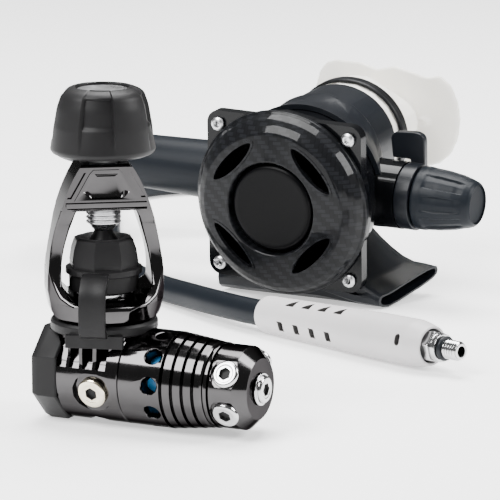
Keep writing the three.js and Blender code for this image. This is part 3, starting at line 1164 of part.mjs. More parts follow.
// Controls on the barrel's right end
const LEVER_RING_FROM = BARREL_HALF_LENGTH + GAP;
const LEVER_RING_TO = LEVER_RING_FROM + LEVER_RING_WIDTH;
const KNOB_FROM = LEVER_RING_TO + GAP;
const KNOB_END = KNOB_FROM + INHALE_KNOB_LENGTH;

function makeVenturiLever() {
  const ring = alongX(tube(LEVER_RING_RADIUS, TUBE_INSIDE, LEVER_RING_FROM, LEVER_RING_TO));
  const inner = LEVER_RING_TO - PADDLE_WIDTH - 2;
  const base = BARREL_RADIUS + 0.7;
  const paddle = new THREE.Shape();
  paddle.moveTo(LEVER_RING_TO, 8);
  paddle.lineTo(LEVER_RING_TO, base + PADDLE_HEIGHT - 5);
  paddle.quadraticCurveTo(LEVER_RING_TO, base + PADDLE_HEIGHT, LEVER_RING_TO - 6, base + PADDLE_HEIGHT);
  paddle.lineTo(inner + 5, base + PADDLE_HEIGHT - 0.6);
  paddle.quadraticCurveTo(inner, base + PADDLE_HEIGHT - 1, inner, base + PADDLE_HEIGHT - 5);
  paddle.lineTo(inner + 1, base);
  paddle.lineTo(LEVER_RING_FROM, base);
  paddle.lineTo(LEVER_RING_FROM, 8);
  const blade = plate(paddle, 6 - PADDLE_THICKNESS / 2, 6 + PADDLE_THICKNESS / 2);
  return barrelPlace(join(ring, blade));
}
addPiece(caseFrame, 'venturi_lever', makeVenturiLever(), BLUE_BLACK);

function makeInhaleKnob() {
  const skin = alongX(revolve([
    [0, KNOB_FROM + INHALE_SOCKET_DEPTH], [INHALE_NECK_RADIUS + GAP, KNOB_FROM + INHALE_SOCKET_DEPTH],
    [INHALE_NECK_RADIUS + GAP, KNOB_FROM], [INHALE_KNOB_RADIUS - 0.8, KNOB_FROM],
    [INHALE_KNOB_RADIUS, KNOB_FROM + 0.8], [INHALE_KNOB_RADIUS - 0.6, KNOB_FROM + 5],
    [INHALE_KNOB_END_RADIUS + 0.4, KNOB_END - 2.4],
    [INHALE_KNOB_END_RADIUS - 1.4, KNOB_END], [INHALE_WELL_RADIUS, KNOB_END],
    [INHALE_WELL_RADIUS, KNOB_END - INHALE_WELL_DEPTH],
    [0, KNOB_END - INHALE_WELL_DEPTH],
  ], WIDE_SIDES));
  const grips = [];
  for (let i = 0; i < INHALE_KNOB_GRIPS; i += 1) {
    const ball = new THREE.SphereGeometry(1, FINE_SIDES, 6).scale(INHALE_KNOB_LENGTH * 0.38, 4, 2.8);
    const slope = (INHALE_KNOB_RADIUS - INHALE_KNOB_END_RADIUS) / INHALE_KNOB_LENGTH;
    const middleRadius = (INHALE_KNOB_RADIUS + INHALE_KNOB_END_RADIUS) / 2;
    ball.rotateY(Math.atan(slope)).translate((KNOB_FROM + KNOB_END) / 2 + 1, 0, middleRadius + 0.6);
    grips.push(ball.rotateX((i * 2 * Math.PI) / INHALE_KNOB_GRIPS));
  }
  return barrelPlace(cut(skin, ...grips));
}
addPiece(caseFrame, 'inhale_knob', makeInhaleKnob(), SLATE_RUBBER);
addPiece(caseFrame, 'inhale_spindle', barrelPlace(alongX(revolve([
  [0, INHALE_STEM_TIP], [TUBE_INSIDE - GAP, INHALE_STEM_TIP], [TUBE_INSIDE - GAP, BARREL_HALF_LENGTH],
  [INHALE_NECK_RADIUS, BARREL_HALF_LENGTH], [INHALE_NECK_RADIUS, KNOB_FROM + INHALE_SOCKET_DEPTH - GAP],
  [0, KNOB_FROM + INHALE_SOCKET_DEPTH - GAP],
]))), STEEL);
addPiece(caseFrame, 'inhale_knob_disc', barrelPlace(alongX(revolve([
  [0, KNOB_END - INHALE_WELL_DEPTH + GAP], [INHALE_WELL_RADIUS - GAP, KNOB_END - INHALE_WELL_DEPTH + GAP],
  [INHALE_WELL_RADIUS - GAP, KNOB_END - 1], [INHALE_WELL_RADIUS - 1.6, KNOB_END - 1.3], [0, KNOB_END - 1.3],
], FINE_SIDES))), STEEL);

// Hose inlet and the sleeve over it, on the barrel's left end
const SLEEVE_FROM = -BARREL_HALF_LENGTH - GAP;
const SLEEVE_TO = SLEEVE_FROM - SLEEVE_LENGTH;
const NUT_TO = SLEEVE_FROM - SLEEVE_CAVITY + 4;
addPiece(caseFrame, 'hose_inlet_fitting', barrelPlace(cut(
  join(
    alongX(rod(TUBE_INSIDE - GAP, NUT_TO + 4, -BARREL_HALF_LENGTH + 10 - GAP)),
    alongX(hexagon(INLET_NUT_FLATS, NUT_TO, NUT_TO + 14)),
  ),
  alongX(rod(2.2, NUT_TO - 1, -BARREL_HALF_LENGTH + 12, FINE_SIDES)),
)), CHROME);

function makeSleeve() {
  const cavity = INLET_NUT_FLATS / Math.sqrt(3) + GAP;
  const bore = HOSE_RADIUS + GAP;
  const bottom = SLEEVE_FROM - SLEEVE_CAVITY;
  return barrelPlace(alongX(revolve([
    [cavity, SLEEVE_FROM], [SLEEVE_RADIUS - 0.8, SLEEVE_FROM], [SLEEVE_RADIUS, SLEEVE_FROM - 0.8],
    [SLEEVE_RADIUS - 0.8, bottom],
    [SLEEVE_RADIUS - 1.9, SLEEVE_TO + 1.5], [SLEEVE_RADIUS - 3.2, SLEEVE_TO], [bore + 1.6, SLEEVE_TO],
    [bore, SLEEVE_TO + 7],
    [bore, bottom], [cavity, bottom], [cavity, SLEEVE_FROM],
  ])));
}
addPiece(caseFrame, 'second_stage_hose_guard', makeSleeve(), SLATE_RUBBER);

// Exhaust: the valve under the case and the tee that carries the bubbles to both sides
addPiece(caseFrame, 'exhaust_valve', portPlace(revolve([
  [0, PORT_FACE - 1.6], [4, PORT_FACE - 1.5], [EXHAUST_PORT_RADIUS + 1, PORT_FACE - 0.9],
  [EXHAUST_PORT_RADIUS + 1, PORT_FACE - GAP],
  [1.3, PORT_FACE - GAP], [1.3, PORT_FACE + 4], [0, PORT_FACE + 4.6],
], FINE_SIDES)), SILICONE);

function teeRing(x, middle, halfDepth, height, shrink) {
  return oval(0, halfDepth - shrink, height / 2 - shrink, height / 2, 3.4)
    .map((point) => new THREE.Vector3(x + TEE_SLANT * point.x, middle + point.x, point.z));
}

function makeTee() {
  const centre = TEE_FRONT + TEE_DEPTH * 0.4;
  const stations = [
    [-TEE_HALF_LENGTH, centre * 1.1, TEE_DEPTH * 0.43, TEE_HEIGHT],
    [-TEE_HALF_LENGTH * 0.72, centre * 1.06, TEE_DEPTH * 0.46, TEE_HEIGHT * 1.25],
    [-TEE_HALF_LENGTH * 0.3, centre, TEE_DEPTH * 0.5, TEE_SADDLE],
    [TEE_HALF_LENGTH * 0.35, centre, TEE_DEPTH * 0.5, TEE_SADDLE],
    [TEE_HALF_LENGTH * 0.78, centre * 1.02, TEE_DEPTH * 0.48, TEE_HEIGHT * 1.3],
    [TEE_HALF_LENGTH * 1.04, centre * 1.04, TEE_DEPTH * 0.46, TEE_HEIGHT],
  ];
  const skin = (shrink, over) => loft(stations.map(([x, middle, halfDepth, height]) => (
    teeRing(x + Math.sign(x) * over, middle, halfDepth, height, shrink)
  )));
  caseFrame.updateMatrix();
  const placed = (geometry) => geometry.applyMatrix4(caseFrame.matrix);
  const reach = 2 * BARREL_HALF_LENGTH;
  return cut(
    skin(0, 0),
    skin(TEE_WALL, 1),
    placed(caseLoft(2 * GAP + SHROUD_WALL, FRAME_BACK - 1, MOUTH_TUBE_END)),
    placed(makeFrame(GAP)),
    placed(portPlace(rod(EXHAUST_PORT_RADIUS + CASE_WALL + GAP, PORT_FACE - 4, -20))),
    placed(barrelPlace(alongX(rod(BARREL_RADIUS + GAP, -reach, reach, WIDE_SIDES)))),
  );
}
addPiece(secondStage, 'exhaust_tee', makeTee(), BLUE_BLACK);

// ---------------------------------------------------------------------------------------------
// Hose and the free fitting in its guard
// ---------------------------------------------------------------------------------------------
const guardFrame = new THREE.Group();       // +Z along the guard to the fitting, -X up, -Y to the front
guardFrame.position.set(...GUARD_TAIL_AT);
const guardAlong = new THREE.Vector3(...GUARD_HEAD_AT).sub(guardFrame.position).normalize();
const guardBack = new THREE.Vector3(0, 0.98, -0.2).projectOnPlane(guardAlong).normalize();
const guardDown = guardBack.clone().cross(guardAlong);
guardFrame.quaternion.setFromRotationMatrix(new THREE.Matrix4().makeBasis(guardDown, guardBack, guardAlong));

const hoseLine = new THREE.CatmullRomCurve3(HOSE_ROUTE.map((point) => new THREE.Vector3(...point)));
const hoseSection = new THREE.Shape().absarc(0, 0, HOSE_RADIUS, 0, 2 * Math.PI);
const hoseGroup = new THREE.Group();
addPiece(hoseGroup, 'low_pressure_hose', new THREE.ExtrudeGeometry(hoseSection, {
  extrudePath: hoseLine, steps: HOSE_STEPS, bevelEnabled: false, curveSegments: HOSE_SIDES / 2,
}), SLATE_RUBBER);

const GUARD_TO = GUARD_LENGTH + GUARD_NOSE;
const FITTING_FROM = HOSE_END + GAP;

// One recess into the guard's side, turned from the front about its axis: positive angles go down.
function guardRecess(shape, angle, along) {
  const from = GUARD_HEAD_RADIUS - GUARD_RECESS_DEPTH - 1;
  const prism = plate(outline(shape), -GUARD_HEAD_RADIUS - 3, -from);
  return prism.translate(0, 0, along).rotateZ(angle);
}

function makeGuard() {
  const skin = revolve([
    [HOSE_RADIUS + 1.6, 0], [GUARD_TAIL_RADIUS - 1, 0], [GUARD_TAIL_RADIUS, 1.5],
    [GUARD_HEAD_RADIUS, GUARD_LENGTH - 22], [GUARD_HEAD_RADIUS, GUARD_LENGTH],
    [FITTING_NUT_RADIUS + 1.4, GUARD_TO], [FITTING_NUT_RADIUS + GAP, GUARD_TO],
    [FITTING_NUT_RADIUS + GAP, HOSE_END], [HOSE_RADIUS + GAP, HOSE_END], [HOSE_RADIUS + GAP, 6],
    [HOSE_RADIUS + 1.6, 0],
  ]);
  const [slotX, slotZ] = [GUARD_SLOT_WIDTH / 2, GUARD_SLOT_WIDTH / 3];
  const notchX = GUARD_SLOT_WIDTH / 2;
  const recesses = [];
  for (let i = 0; i < GUARD_SLOTS; i += 1) {
    const at = GUARD_SLOTS_FROM + i * GUARD_SLOT_SPACING;
    const slot = [[-slotX, -slotZ], [slotX, -slotZ], [slotX, slotZ], [-slotX, slotZ]];
    const notch = [[-notchX, notchX], [notchX, notchX], [notchX, -notchX]];
    recesses.push(guardRecess(slot, GUARD_SLOT_ANGLE, at), guardRecess(notch, -GUARD_NOTCH_ANGLE, at + 3.6));
  }
  return cut(skin, ...recesses);
}
addPiece(guardFrame, 'hose_end_guard', makeGuard(), WHITE_RUBBER);

const COLLAR_FROM = GUARD_TO + 3.5;
const THREAD_FROM = COLLAR_FROM + 5;
const FITTING_TIP = THREAD_FROM + FITTING_THREAD;
function makeFitting() {
  const nut = hexagon(FITTING_NUT_RADIUS * Math.sqrt(3), FITTING_FROM, COLLAR_FROM);
  const seat = ORING_RADIUS - ORING_WIRE - GAP;
  const core = revolve([
    [0, FITTING_FROM], [FITTING_COLLAR_RADIUS - 2, FITTING_FROM],
    [FITTING_COLLAR_RADIUS - 2, COLLAR_FROM + 0.8],
    [FITTING_COLLAR_RADIUS, COLLAR_FROM + 1], [FITTING_COLLAR_RADIUS, THREAD_FROM - ORING_WIRE - 1.2],
    [seat, THREAD_FROM - ORING_WIRE - 1.2], [seat, THREAD_FROM + 1.2],
    [FITTING_THREAD_RADIUS, THREAD_FROM + 1.4], [FITTING_THREAD_RADIUS, FITTING_TIP - 1],
    [FITTING_THREAD_RADIUS - 1, FITTING_TIP], [0, FITTING_TIP],
  ]);
  return cut(join(nut, core), rod(FITTING_BORE_RADIUS, FITTING_FROM - 1, FITTING_TIP + 1, FINE_SIDES));
}
addPiece(guardFrame, 'hose_fitting', makeFitting(), CHROME);

const RING_SIDES = 6;
const ringSection = Array.from({ length: RING_SIDES + 1 }, (_, i) => {
  const angle = (i / RING_SIDES) * 2 * Math.PI;
  return [ORING_RADIUS + ORING_WIRE * Math.cos(angle), THREAD_FROM + 0.4 + ORING_WIRE * Math.sin(angle)];
});
addPiece(guardFrame, 'fitting_o_ring', revolve(ringSection), BLACK_RUBBER);

// ---------------------------------------------------------------------------------------------
// The whole set, with the origin under the middle of everything but the hose and what hangs on it
// ---------------------------------------------------------------------------------------------
const group = new THREE.Group();
group.name = 'scuba_regulator_set';
group.add(firstStage, secondStage, hoseGroup, guardFrame);
group.updateMatrixWorld(true);
const bounds = new THREE.Box3().expandByObject(firstStage, true).expandByObject(secondStage, true);
const middle = bounds.getCenter(new THREE.Vector3());
group.position.set(-middle.x, -middle.y, -bounds.min.z);
group.updateMatrixWorld(true);

export default group;
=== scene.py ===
"""A scuba regulator set: yoke first stage, second stage and the hose between them."""
import json
import math

import bmesh
import bpy
from bpy.props import FloatProperty, FloatVectorProperty, IntProperty, PointerProperty
from mathutils import Matrix, Vector


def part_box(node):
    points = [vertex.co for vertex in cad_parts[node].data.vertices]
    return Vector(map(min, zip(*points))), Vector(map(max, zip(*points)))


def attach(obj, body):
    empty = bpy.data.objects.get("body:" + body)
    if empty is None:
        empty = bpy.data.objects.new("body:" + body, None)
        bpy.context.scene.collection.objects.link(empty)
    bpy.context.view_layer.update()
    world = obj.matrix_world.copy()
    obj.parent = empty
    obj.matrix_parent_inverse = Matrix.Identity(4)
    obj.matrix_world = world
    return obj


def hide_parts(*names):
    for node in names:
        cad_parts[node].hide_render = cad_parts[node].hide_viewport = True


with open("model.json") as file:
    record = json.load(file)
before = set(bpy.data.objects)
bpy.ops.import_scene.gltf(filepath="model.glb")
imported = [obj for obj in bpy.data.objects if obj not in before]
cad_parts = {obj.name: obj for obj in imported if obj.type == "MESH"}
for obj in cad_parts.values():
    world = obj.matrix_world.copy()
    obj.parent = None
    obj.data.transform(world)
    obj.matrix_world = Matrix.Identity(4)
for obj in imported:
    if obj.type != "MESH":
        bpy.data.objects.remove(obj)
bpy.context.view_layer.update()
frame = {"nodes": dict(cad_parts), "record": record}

bl_info = {
    "name": "Scuba Regulator Set",
    "version": (1, 0, 0),
    "blender": (4, 5, 0),
    "location": "3D View > Sidebar > Regulator",
    "description": "Dresses a scuba regulator's solids with finished surfaces",
    "category": "Object",
}

# Sizes are in millimetres and angles in degrees, apart from metres where a name ends in _M
MM = 0.001
DEG = math.pi / 180
HERE = Matrix()

# Where the groups of pieces stand
YOKE_AT = Vector((-65.9, 0, 0))
_low, _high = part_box("inlet_filter")
ORIGIN = Vector(((_low.x + _high.x) / 2, (_low.y + _high.y) / 2, 0)) - YOKE_AT * MM
BODY_RADIUS = 22.0


def framed(at, *turns):
    """The matrix from a group's own millimetres to the row's metres."""
    place = Matrix.Translation(ORIGIN) @ Matrix.Scale(MM, 4) @ Matrix.Translation(at)
    for angle, axis in turns:
        place = place @ Matrix.Rotation(angle * DEG, 4, axis)
    return place


YOKE = framed(YOKE_AT, (9, "Z"))
BODY = framed(YOKE_AT + Vector((0, 0, BODY_RADIUS)), (-26.6, "Z"))
CASE_TURN = 27.8
CASE = framed((18, 244, 54), (-CASE_TURN, "Z"), (5.5, "X"), (2, "Y"))
TEE = framed((18, 244, 0), (-CASE_TURN, "Z"))
GUARD_TAIL = Vector((8.2, 176.8, 9.6))
GUARD_HEAD = Vector((83.2, 98.7, 11.8))


def guard_place():
    """The guard's own frame: +Z along it, -Y towards the viewer and -X up."""
    along = (GUARD_HEAD - GUARD_TAIL).normalized()
    facing = Vector((0, -0.98, 0.2))
    back = -(facing - facing.dot(along) * along).normalized()
    turn = Matrix((back.cross(along), back, along)).transposed()
    return framed(GUARD_TAIL) @ turn.to_4x4()


GUARD = guard_place()

HOSE_ROUTE_M = [
    (-0.0481, 0.3179, 0.0606), (-0.0595, 0.3239, 0.0611), (-0.072, 0.3304, 0.0615), (-0.0888, 0.344, 0.0615),
    (-0.0985, 0.3608, 0.061), (-0.1019, 0.38, 0.06), (-0.0985, 0.3992, 0.058), (-0.0888, 0.416, 0.055),
    (-0.0739, 0.4285, 0.051), (-0.0556, 0.4351, 0.046), (-0.026, 0.437, 0.038), (-0.004, 0.438, 0.031),
    (0.019, 0.445, 0.023), (0.037, 0.461, 0.0155), (0.047, 0.482, 0.01), (0.046, 0.507, 0.0074),
    (0.033, 0.529, 0.0068), (0.011, 0.545, 0.0068), (-0.014, 0.551, 0.0068), (-0.038, 0.549, 0.0068),
    (-0.06, 0.538, 0.0068), (-0.076, 0.519, 0.0068), (-0.082, 0.494, 0.0068), (-0.08, 0.462, 0.0068),
    (-0.079, 0.43, 0.0068), (-0.078, 0.398, 0.0068), (-0.076, 0.366, 0.0068), (-0.072, 0.334, 0.0068),
    (-0.066, 0.303, 0.0068), (-0.057, 0.275, 0.0068), (-0.045, 0.251, 0.007), (-0.031, 0.2295, 0.0076),
    (-0.0175, 0.208, 0.0086), (-0.0022, 0.1876, 0.0093), (0.0186, 0.166, 0.0099), (0.0359, 0.148, 0.0104),
    (0.0532, 0.1299, 0.0109), (0.0701, 0.1123, 0.0114),
]


# ---- Mesh helpers
def moved(bm, place):
    """Moves a bmesh's points by a matrix."""
    bmesh.ops.transform(bm, matrix=place, verts=bm.verts)
    return bm


def new_object(name, bm, place=HERE):
    """Makes an object at the origin from a bmesh whose place is worked into its mesh."""
    mesh = bpy.data.meshes.new(name)
    moved(bm, place).to_mesh(mesh)
    bm.free()
    for polygon in mesh.polygons:
        polygon.use_smooth = True
    obj = bpy.data.objects.new(name, mesh)
    bpy.context.scene.collection.objects.link(obj)
    return obj


def spun(profile, steps=96, axis="Z"):
    """A bmesh turned from (radius, height) points about the Z or the -Y axis."""
    bm = bmesh.new()
    verts = [bm.verts.new((radius, 0, height)) for radius, height in profile]
    edges = [bm.edges.new(pair) for pair in zip(verts, verts[1:])]
    bmesh.ops.spin(
        bm, geom=verts + edges, cent=(0, 0, 0), axis=(0, 0, 1), angle=2 * math.pi, steps=steps,
        use_merge=True,
    )
    bmesh.ops.remove_doubles(bm, verts=bm.verts, dist=1e-4)
    bmesh.ops.recalc_face_normals(bm, faces=bm.faces)
    if axis == "-Y":
        bmesh.ops.rotate(bm, verts=bm.verts, matrix=Matrix.Rotation(math.pi / 2, 3, "X"))
    return bm


LONGEST_CUT = 0.4
STRAIGHT = 0.12


def softened(profile, radius, segments):
    """A profile with its corners rounded, as a turned piece's are, apart from almost straight ones."""
    points = [Vector(p) for p in profile]
    closed = (points[0] - points[-1]).length < 1e-6
    if closed:
        points = points[:-1]
    rounded = []
    count = len(points)
    for i, point in enumerate(points):
        if not closed and i in (0, count - 1):
            rounded.append(point)
            continue
        before, after = points[i - 1], points[(i + 1) % count]
        to_before, to_after = before - point, after - point
        cut = min(radius, LONGEST_CUT * to_before.length, LONGEST_CUT * to_after.length)
        if to_before.angle(-to_after) < STRAIGHT:
            rounded.append(point)
            continue
        start, end = point + to_before.normalized() * cut, point + to_after.normalized() * cut
        for step in range(segments + 1):
            t = step / segments
            rounded.append((1 - t) ** 2 * start + 2 * t * (1 - t) * point + t * t * end)
    if closed:
        rounded.append(rounded[0])
    return [tuple(p) for p in rounded]


SMALLEST_BEND = 0.6


def bevelled(bm, width, angle=28):
    """Rounds the edges of a bmesh that are sharper than an angle in degrees."""
    bmesh.ops.dissolve_limit(bm, angle_limit=SMALLEST_BEND * DEG, verts=bm.verts, edges=bm.edges)
    sharp = [e for e in bm.edges if len(e.link_faces) == 2 and e.calc_face_angle(0) > angle * DEG]
    bmesh.ops.bevel(
        bm, geom=sharp, offset=width, offset_type="OFFSET", affect="EDGES", segments=2, profile=0.5,
        material=-1, clamp_overlap=True,
    )
    return bm


def from_node(node):
    """A merged copy of a CAD node's mesh."""
    bm = bmesh.new()
    bm.from_mesh(frame["nodes"][node].data)
    bmesh.ops.remove_doubles(bm, verts=bm.verts, dist=1e-6)
    return bm


def taken_back(obj, place=HERE):
    """An object's mesh as a bmesh again, moved to a place, with the object removed."""
    bm = bmesh.new()
    bm.from_mesh(obj.data)
    bpy.data.objects.remove(obj)
    return moved(bm, place)


def smooth_by_angle(obj, angle):
    """Keeps edges sharper than an angle in degrees crisp, and weights the normals by face size."""
    obj.data.set_sharp_from_angle(angle=angle * DEG)
    weighted = obj.modifiers.new("even_shading", "WEIGHTED_NORMAL")
    weighted.keep_sharp = True
    return obj


def carved(obj, cutter, operation="DIFFERENCE"):
    """Cuts an object by a bmesh and keeps the result in its mesh."""
    cutter = new_object("cutter", cutter)
    step = obj.modifiers.new("carve", "BOOLEAN")
    step.object = cutter
    step.operation = operation
    step.solver = "EXACT"
    bpy.context.view_layer.update()
    result = bpy.data.meshes.new_from_object(obj.evaluated_get(bpy.context.evaluated_depsgraph_get()))
    obj.modifiers.remove(step)
    obj.data = result
    bpy.data.objects.remove(cutter)
    return obj


def cone(sides, low_radius, high_radius, depth, place, bm=None):
    """A closed cone or cylinder about the Z axis of a place, added to a bmesh or in one of its own."""
    if bm is None:
        bm = bmesh.new()
    bmesh.ops.create_cone(
        bm, cap_ends=True, segments=sides, radius1=low_radius, radius2=high_radius, depth=depth, matrix=place,
    )
    return bm


def prism(points, low, high, place=HERE):
    """A bmesh prism over a loop of (x, z) points, from a low to a high place towards -Y."""
    bm = bmesh.new()
    base = bm.faces.new([bm.verts.new((x, -low, z)) for x, z in points])
    grown = bmesh.ops.extrude_face_region(bm, geom=[base])
    raised = [v for v in grown["geom"] if isinstance(v, bmesh.types.BMVert)]
    bmesh.ops.translate(bm, vec=(0, low - high, 0), verts=raised)
    bmesh.ops.recalc_face_normals(bm, faces=bm.faces)
    return moved(bm, place)


def along_table(table, at):
    """The value at a place in a table of (place, value) pairs, with straight steps between them."""
    if at <= table[0][0]:
        return table[0][1]
    for (low, first), (high, second) in zip(table, table[1:]):
        if at <= high:
            return first + (second - first) * (at - low) / (high - low)
    return table[-1][1]


def filled_in(profile, spacing):
    """A profile with extra points, so that no step along it is longer than a spacing."""
    points = [Vector(p) for p in profile]
    dense = [points[0]]
    for start, end in zip(points, points[1:]):
        steps = max(1, math.ceil((end - start).length / spacing))
        dense += [start.lerp(end, i / steps) for i in range(1, steps + 1)]
    return [tuple(p) for p in dense]


def clamped(value):
    """A value kept between 0 and 1."""
    return min(1.0, max(0.0, value))


def radius_of(vert):
    """How far a point of a turned piece lies from the piece's axis."""
    return math.hypot(vert.co.x, vert.co.y)


def sunk(vert, depth):
    """Moves a point of a turned piece straight towards the piece's axis."""
    shrink = 1 - depth / radius_of(vert)
    vert.co.x *= shrink
    vert.co.y *= shrink


def off_middle(vert, turned_by, count):
    """The degrees from a point to the middle of the nearest of several hollows round a turned piece."""
    period = 360 / count
    turned = math.degrees(math.atan2(vert.co.y, vert.co.x)) + turned_by
    return abs((turned + period / 2) % period - period / 2)


SLOTS = {entry["node"]: entry["material_slot"] for entry in frame["record"]["subparts"]}


def body_holding(node):
    """The name of the CAD body that a node belongs to."""
    bodies = frame["record"]["behaviour"]["bodies"]
    return next(body for body, nodes in bodies.items() if node in nodes)


def placed(obj, node, material):
    """Finishes a piece that stands for a node: its material, and the body that it rides on."""
    obj.data.materials.clear()
    obj.data.materials.append(material)
    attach(obj, body_holding(node))
    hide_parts(node)
    return obj


def piece(node, bm, place, material, crisp):
    """The finished piece that stands for a node, from a bmesh, crisp at edges past an angle in degrees."""
    obj = new_object(node + "_finished", bm, place)
    return placed(smooth_by_angle(obj, crisp), node, material)


def second_material(obj, material, polygons):
    """Gives some of a piece's faces, listed by their numbers, another material."""
    obj.data.materials.append(material)
    for index in polygons:
        obj.data.polygons[index].material_index = 1


# ---- Solids that are softened where they stand
AXIS_LAST = {"X": (1, 2, 0), "Y": (2, 0, 1), "Z": (0, 1, 2)}
ON_AXIS = ((0, 0),)
ROUND = ((0, 1),)
MANY_SIDES = 15
MOUTH_CENTRES = [(4, 0), (20, 0.48), (28.1, 3.2), (35, 7.5), (42, 12.8), (46, 16)]
MOUTH_OVALS = [(20, 1.0), (35, 1.027), (42, 1.055), (46, 1.06)]
BARREL_Y = 35.0
BARREL_REACH = 18.2
BARREL_ENDS_FROM = 37
CHAMBER_FROM = 5.4
LEVER_RING_REACH = 17.3
CAP_TOP = 71
CAP_REACH = 12


def made_round(bm, place, axis, sides, first=0.0, centre=ON_AXIS, squash=ROUND, only=None):
    """Bends the flat sides of a solid's round faces into arcs about an axis of its group.

    The first side begins at an angle. The centre's shift and the oval's squash are tables along the axis.
    """
    order = AXIS_LAST[axis]
    turn = Matrix([[float(column == source) for column in range(3)] for source in order]).to_4x4()
    straighten = turn @ place.inverted()
    moved(bm, straighten)
    for vert in bm.verts:
        vert.co.x -= along_table(centre, vert.co.z)
        vert.co.y /= along_table(squash, vert.co.z)
    cuts = 4 if sides > MANY_SIDES else 6
    step = 360 / sides
    for i in range(sides * cuts // 2):
        angle = (first + i * step / cuts) * DEG
        bmesh.ops.bisect_plane(
            bm, geom=[*bm.verts, *bm.edges, *bm.faces], dist=1e-5, plane_co=(0, 0, 0),
            plane_no=(-math.sin(angle), math.cos(angle), 0),
        )
    back = turn.inverted()
    for vert in bm.verts:
        off = (math.degrees(math.atan2(vert.co.y, vert.co.x)) - first) % step - step / 2
        lift = math.cos(off * DEG) / math.cos(step / 2 * DEG)
        squeeze, shift = along_table(squash, vert.co.z), along_table(centre, vert.co.z)
        flat = Vector((vert.co.x + shift, vert.co.y * squeeze, vert.co.z))
        if only is None or only(back @ flat):
            flat = Vector((vert.co.x * lift + shift, vert.co.y * lift * squeeze, vert.co.z))
        vert.co = flat
    moved(bm, straighten.inverted())


def on_barrel(at):
    """Whether a place of the second stage's group lies on the ends of the valve barrel."""
    return abs(at.x) > BARREL_ENDS_FROM and math.hypot(at.y - BARREL_Y, at.z) < BARREL_REACH


def on_chamber(at):
    """Whether a place of the second stage's group lies on the chamber behind the frame."""
    return at.y > CHAMBER_FROM and not on_barrel(at)


def on_lever_ring(at):
    """Whether a place of the second stage's group lies on the lever's ring, within its grip."""
    return math.hypot(at.y - BARREL_Y, at.z) < LEVER_RING_REACH


def on_cap(at):
    """Whether a place of the yoke's group lies on the round parts of the dust cap."""
    return at.z < CAP_TOP or math.hypot(at.x, at.y) < CAP_REACH


BARREL_CENTRE = ((0, BARREL_Y),)
BEVELS = {"body_end_bumper": 0.9, "dust_cap": 0.6, "venturi_lever": 0.7, "low_pressure_turret": 0.3}
BEVEL = 0.35
ARM_HEIGHTS = (49.5, 99.5)
ARM_EDGE = 1.1
ARM_ANGLE = 34
SHORTEST_ARM_EDGE = 1.2
POCKET = [(-5.6, 104.8), (5.6, 104.8), (7.9, 107.2), (4.0, 113.4), (-4.0, 113.4), (-7.9, 107.2)]
POCKET_FLOOR = 10.1
POCKET_DEPTH = 3.2
POCKET_FLARE = 1.5
AMBIENT_PORTS = 10
AMBIENT_FIRST = 3
AMBIENT_AT = 33.8
AMBIENT_RADIUS = 3.6
CHAMFER_START = AMBIENT_RADIUS - 0.4
CHAMFER_END = AMBIENT_RADIUS + 2.4
CHAMFER_DEPTH = 2.8
BORE_RADIUS = AMBIENT_RADIUS + 0.12
BORE_DEPTH = 5.6
BORE_MIDDLE = BODY_RADIUS - 3.4
CLAMP_MIDDLE = 70.5
CLAMP_SET_BACK = 2.5
CLAMP_WIDENED = 1.27
CLAMP_STRETCH = (
    Matrix.Translation((0, CLAMP_MIDDLE + CLAMP_SET_BACK, 0)) @ Matrix.Diagonal((1, CLAMP_WIDENED, 1, 1))
    @ Matrix.Translation((0, -CLAMP_MIDDLE, 0))
)
ROUND_FACES = {
    "first_stage_body": [(BODY, "X", 20)],
    "swivel_cap": [(BODY, "X", 14)],
    "low_pressure_turret": [(BODY, "X", 20)],
    "yoke_retainer": [(YOKE, "Z", 14, -90)],
    "dust_cap": [(YOKE, "Z", 14, -90, ON_AXIS, ROUND, on_cap)],
    "dust_cap_strap": [(YOKE, "Z", 20, -108)],
    "knob_top_disc": [(YOKE, "Z", 14, -90)],
    "second_stage_case": [
        (CASE, "X", 20, 0, BARREL_CENTRE, ROUND, on_barrel),
        (CASE, "Y", 18, 90, MOUTH_CENTRES, MOUTH_OVALS, on_chamber),
    ],
    "mouth_shroud": [(CASE, "Y", 18, 90, MOUTH_CENTRES, MOUTH_OVALS)],
    "mouthpiece_clamp": [(CASE, "Y", 18, 90, MOUTH_CENTRES, MOUTH_OVALS)],
    "venturi_lever": [(CASE, "X", 14, 0, BARREL_CENTRE, ROUND, on_lever_ring)],
    "inhale_knob_disc": [(CASE, "X", 10, 0, BARREL_CENTRE)],
    "second_stage_hose_guard": [(CASE, "X", 14, 0, BARREL_CENTRE)],
}


def ambient_cutter(inner_radius, outer_radius, depth, middle):
    """A cone or a bore at each of the ambient ports, in the body's own millimetres."""
    bm = bmesh.new()
    for i in range(AMBIENT_PORTS):
        turn = Matrix.Rotation((90 - AMBIENT_FIRST - i * 360 / AMBIENT_PORTS) * DEG, 4, "X")
        place = Matrix.Translation((AMBIENT_AT, 0, 0)) @ turn @ Matrix.Translation((0, 0, middle))
        cone(40, inner_radius, outer_radius, depth, place, bm)
    return bm


def chamfered_ports(bm):
    """Countersinks the body's ambient ports and makes them round."""
    body = new_object("body", bm, BODY.inverted())
    carved(body, ambient_cutter(CHAMFER_START, CHAMFER_END, CHAMFER_DEPTH, BODY_RADIUS))
    carved(body, ambient_cutter(BORE_RADIUS, BORE_RADIUS, BORE_DEPTH, BORE_MIDDLE))
    return taken_back(body, BODY)


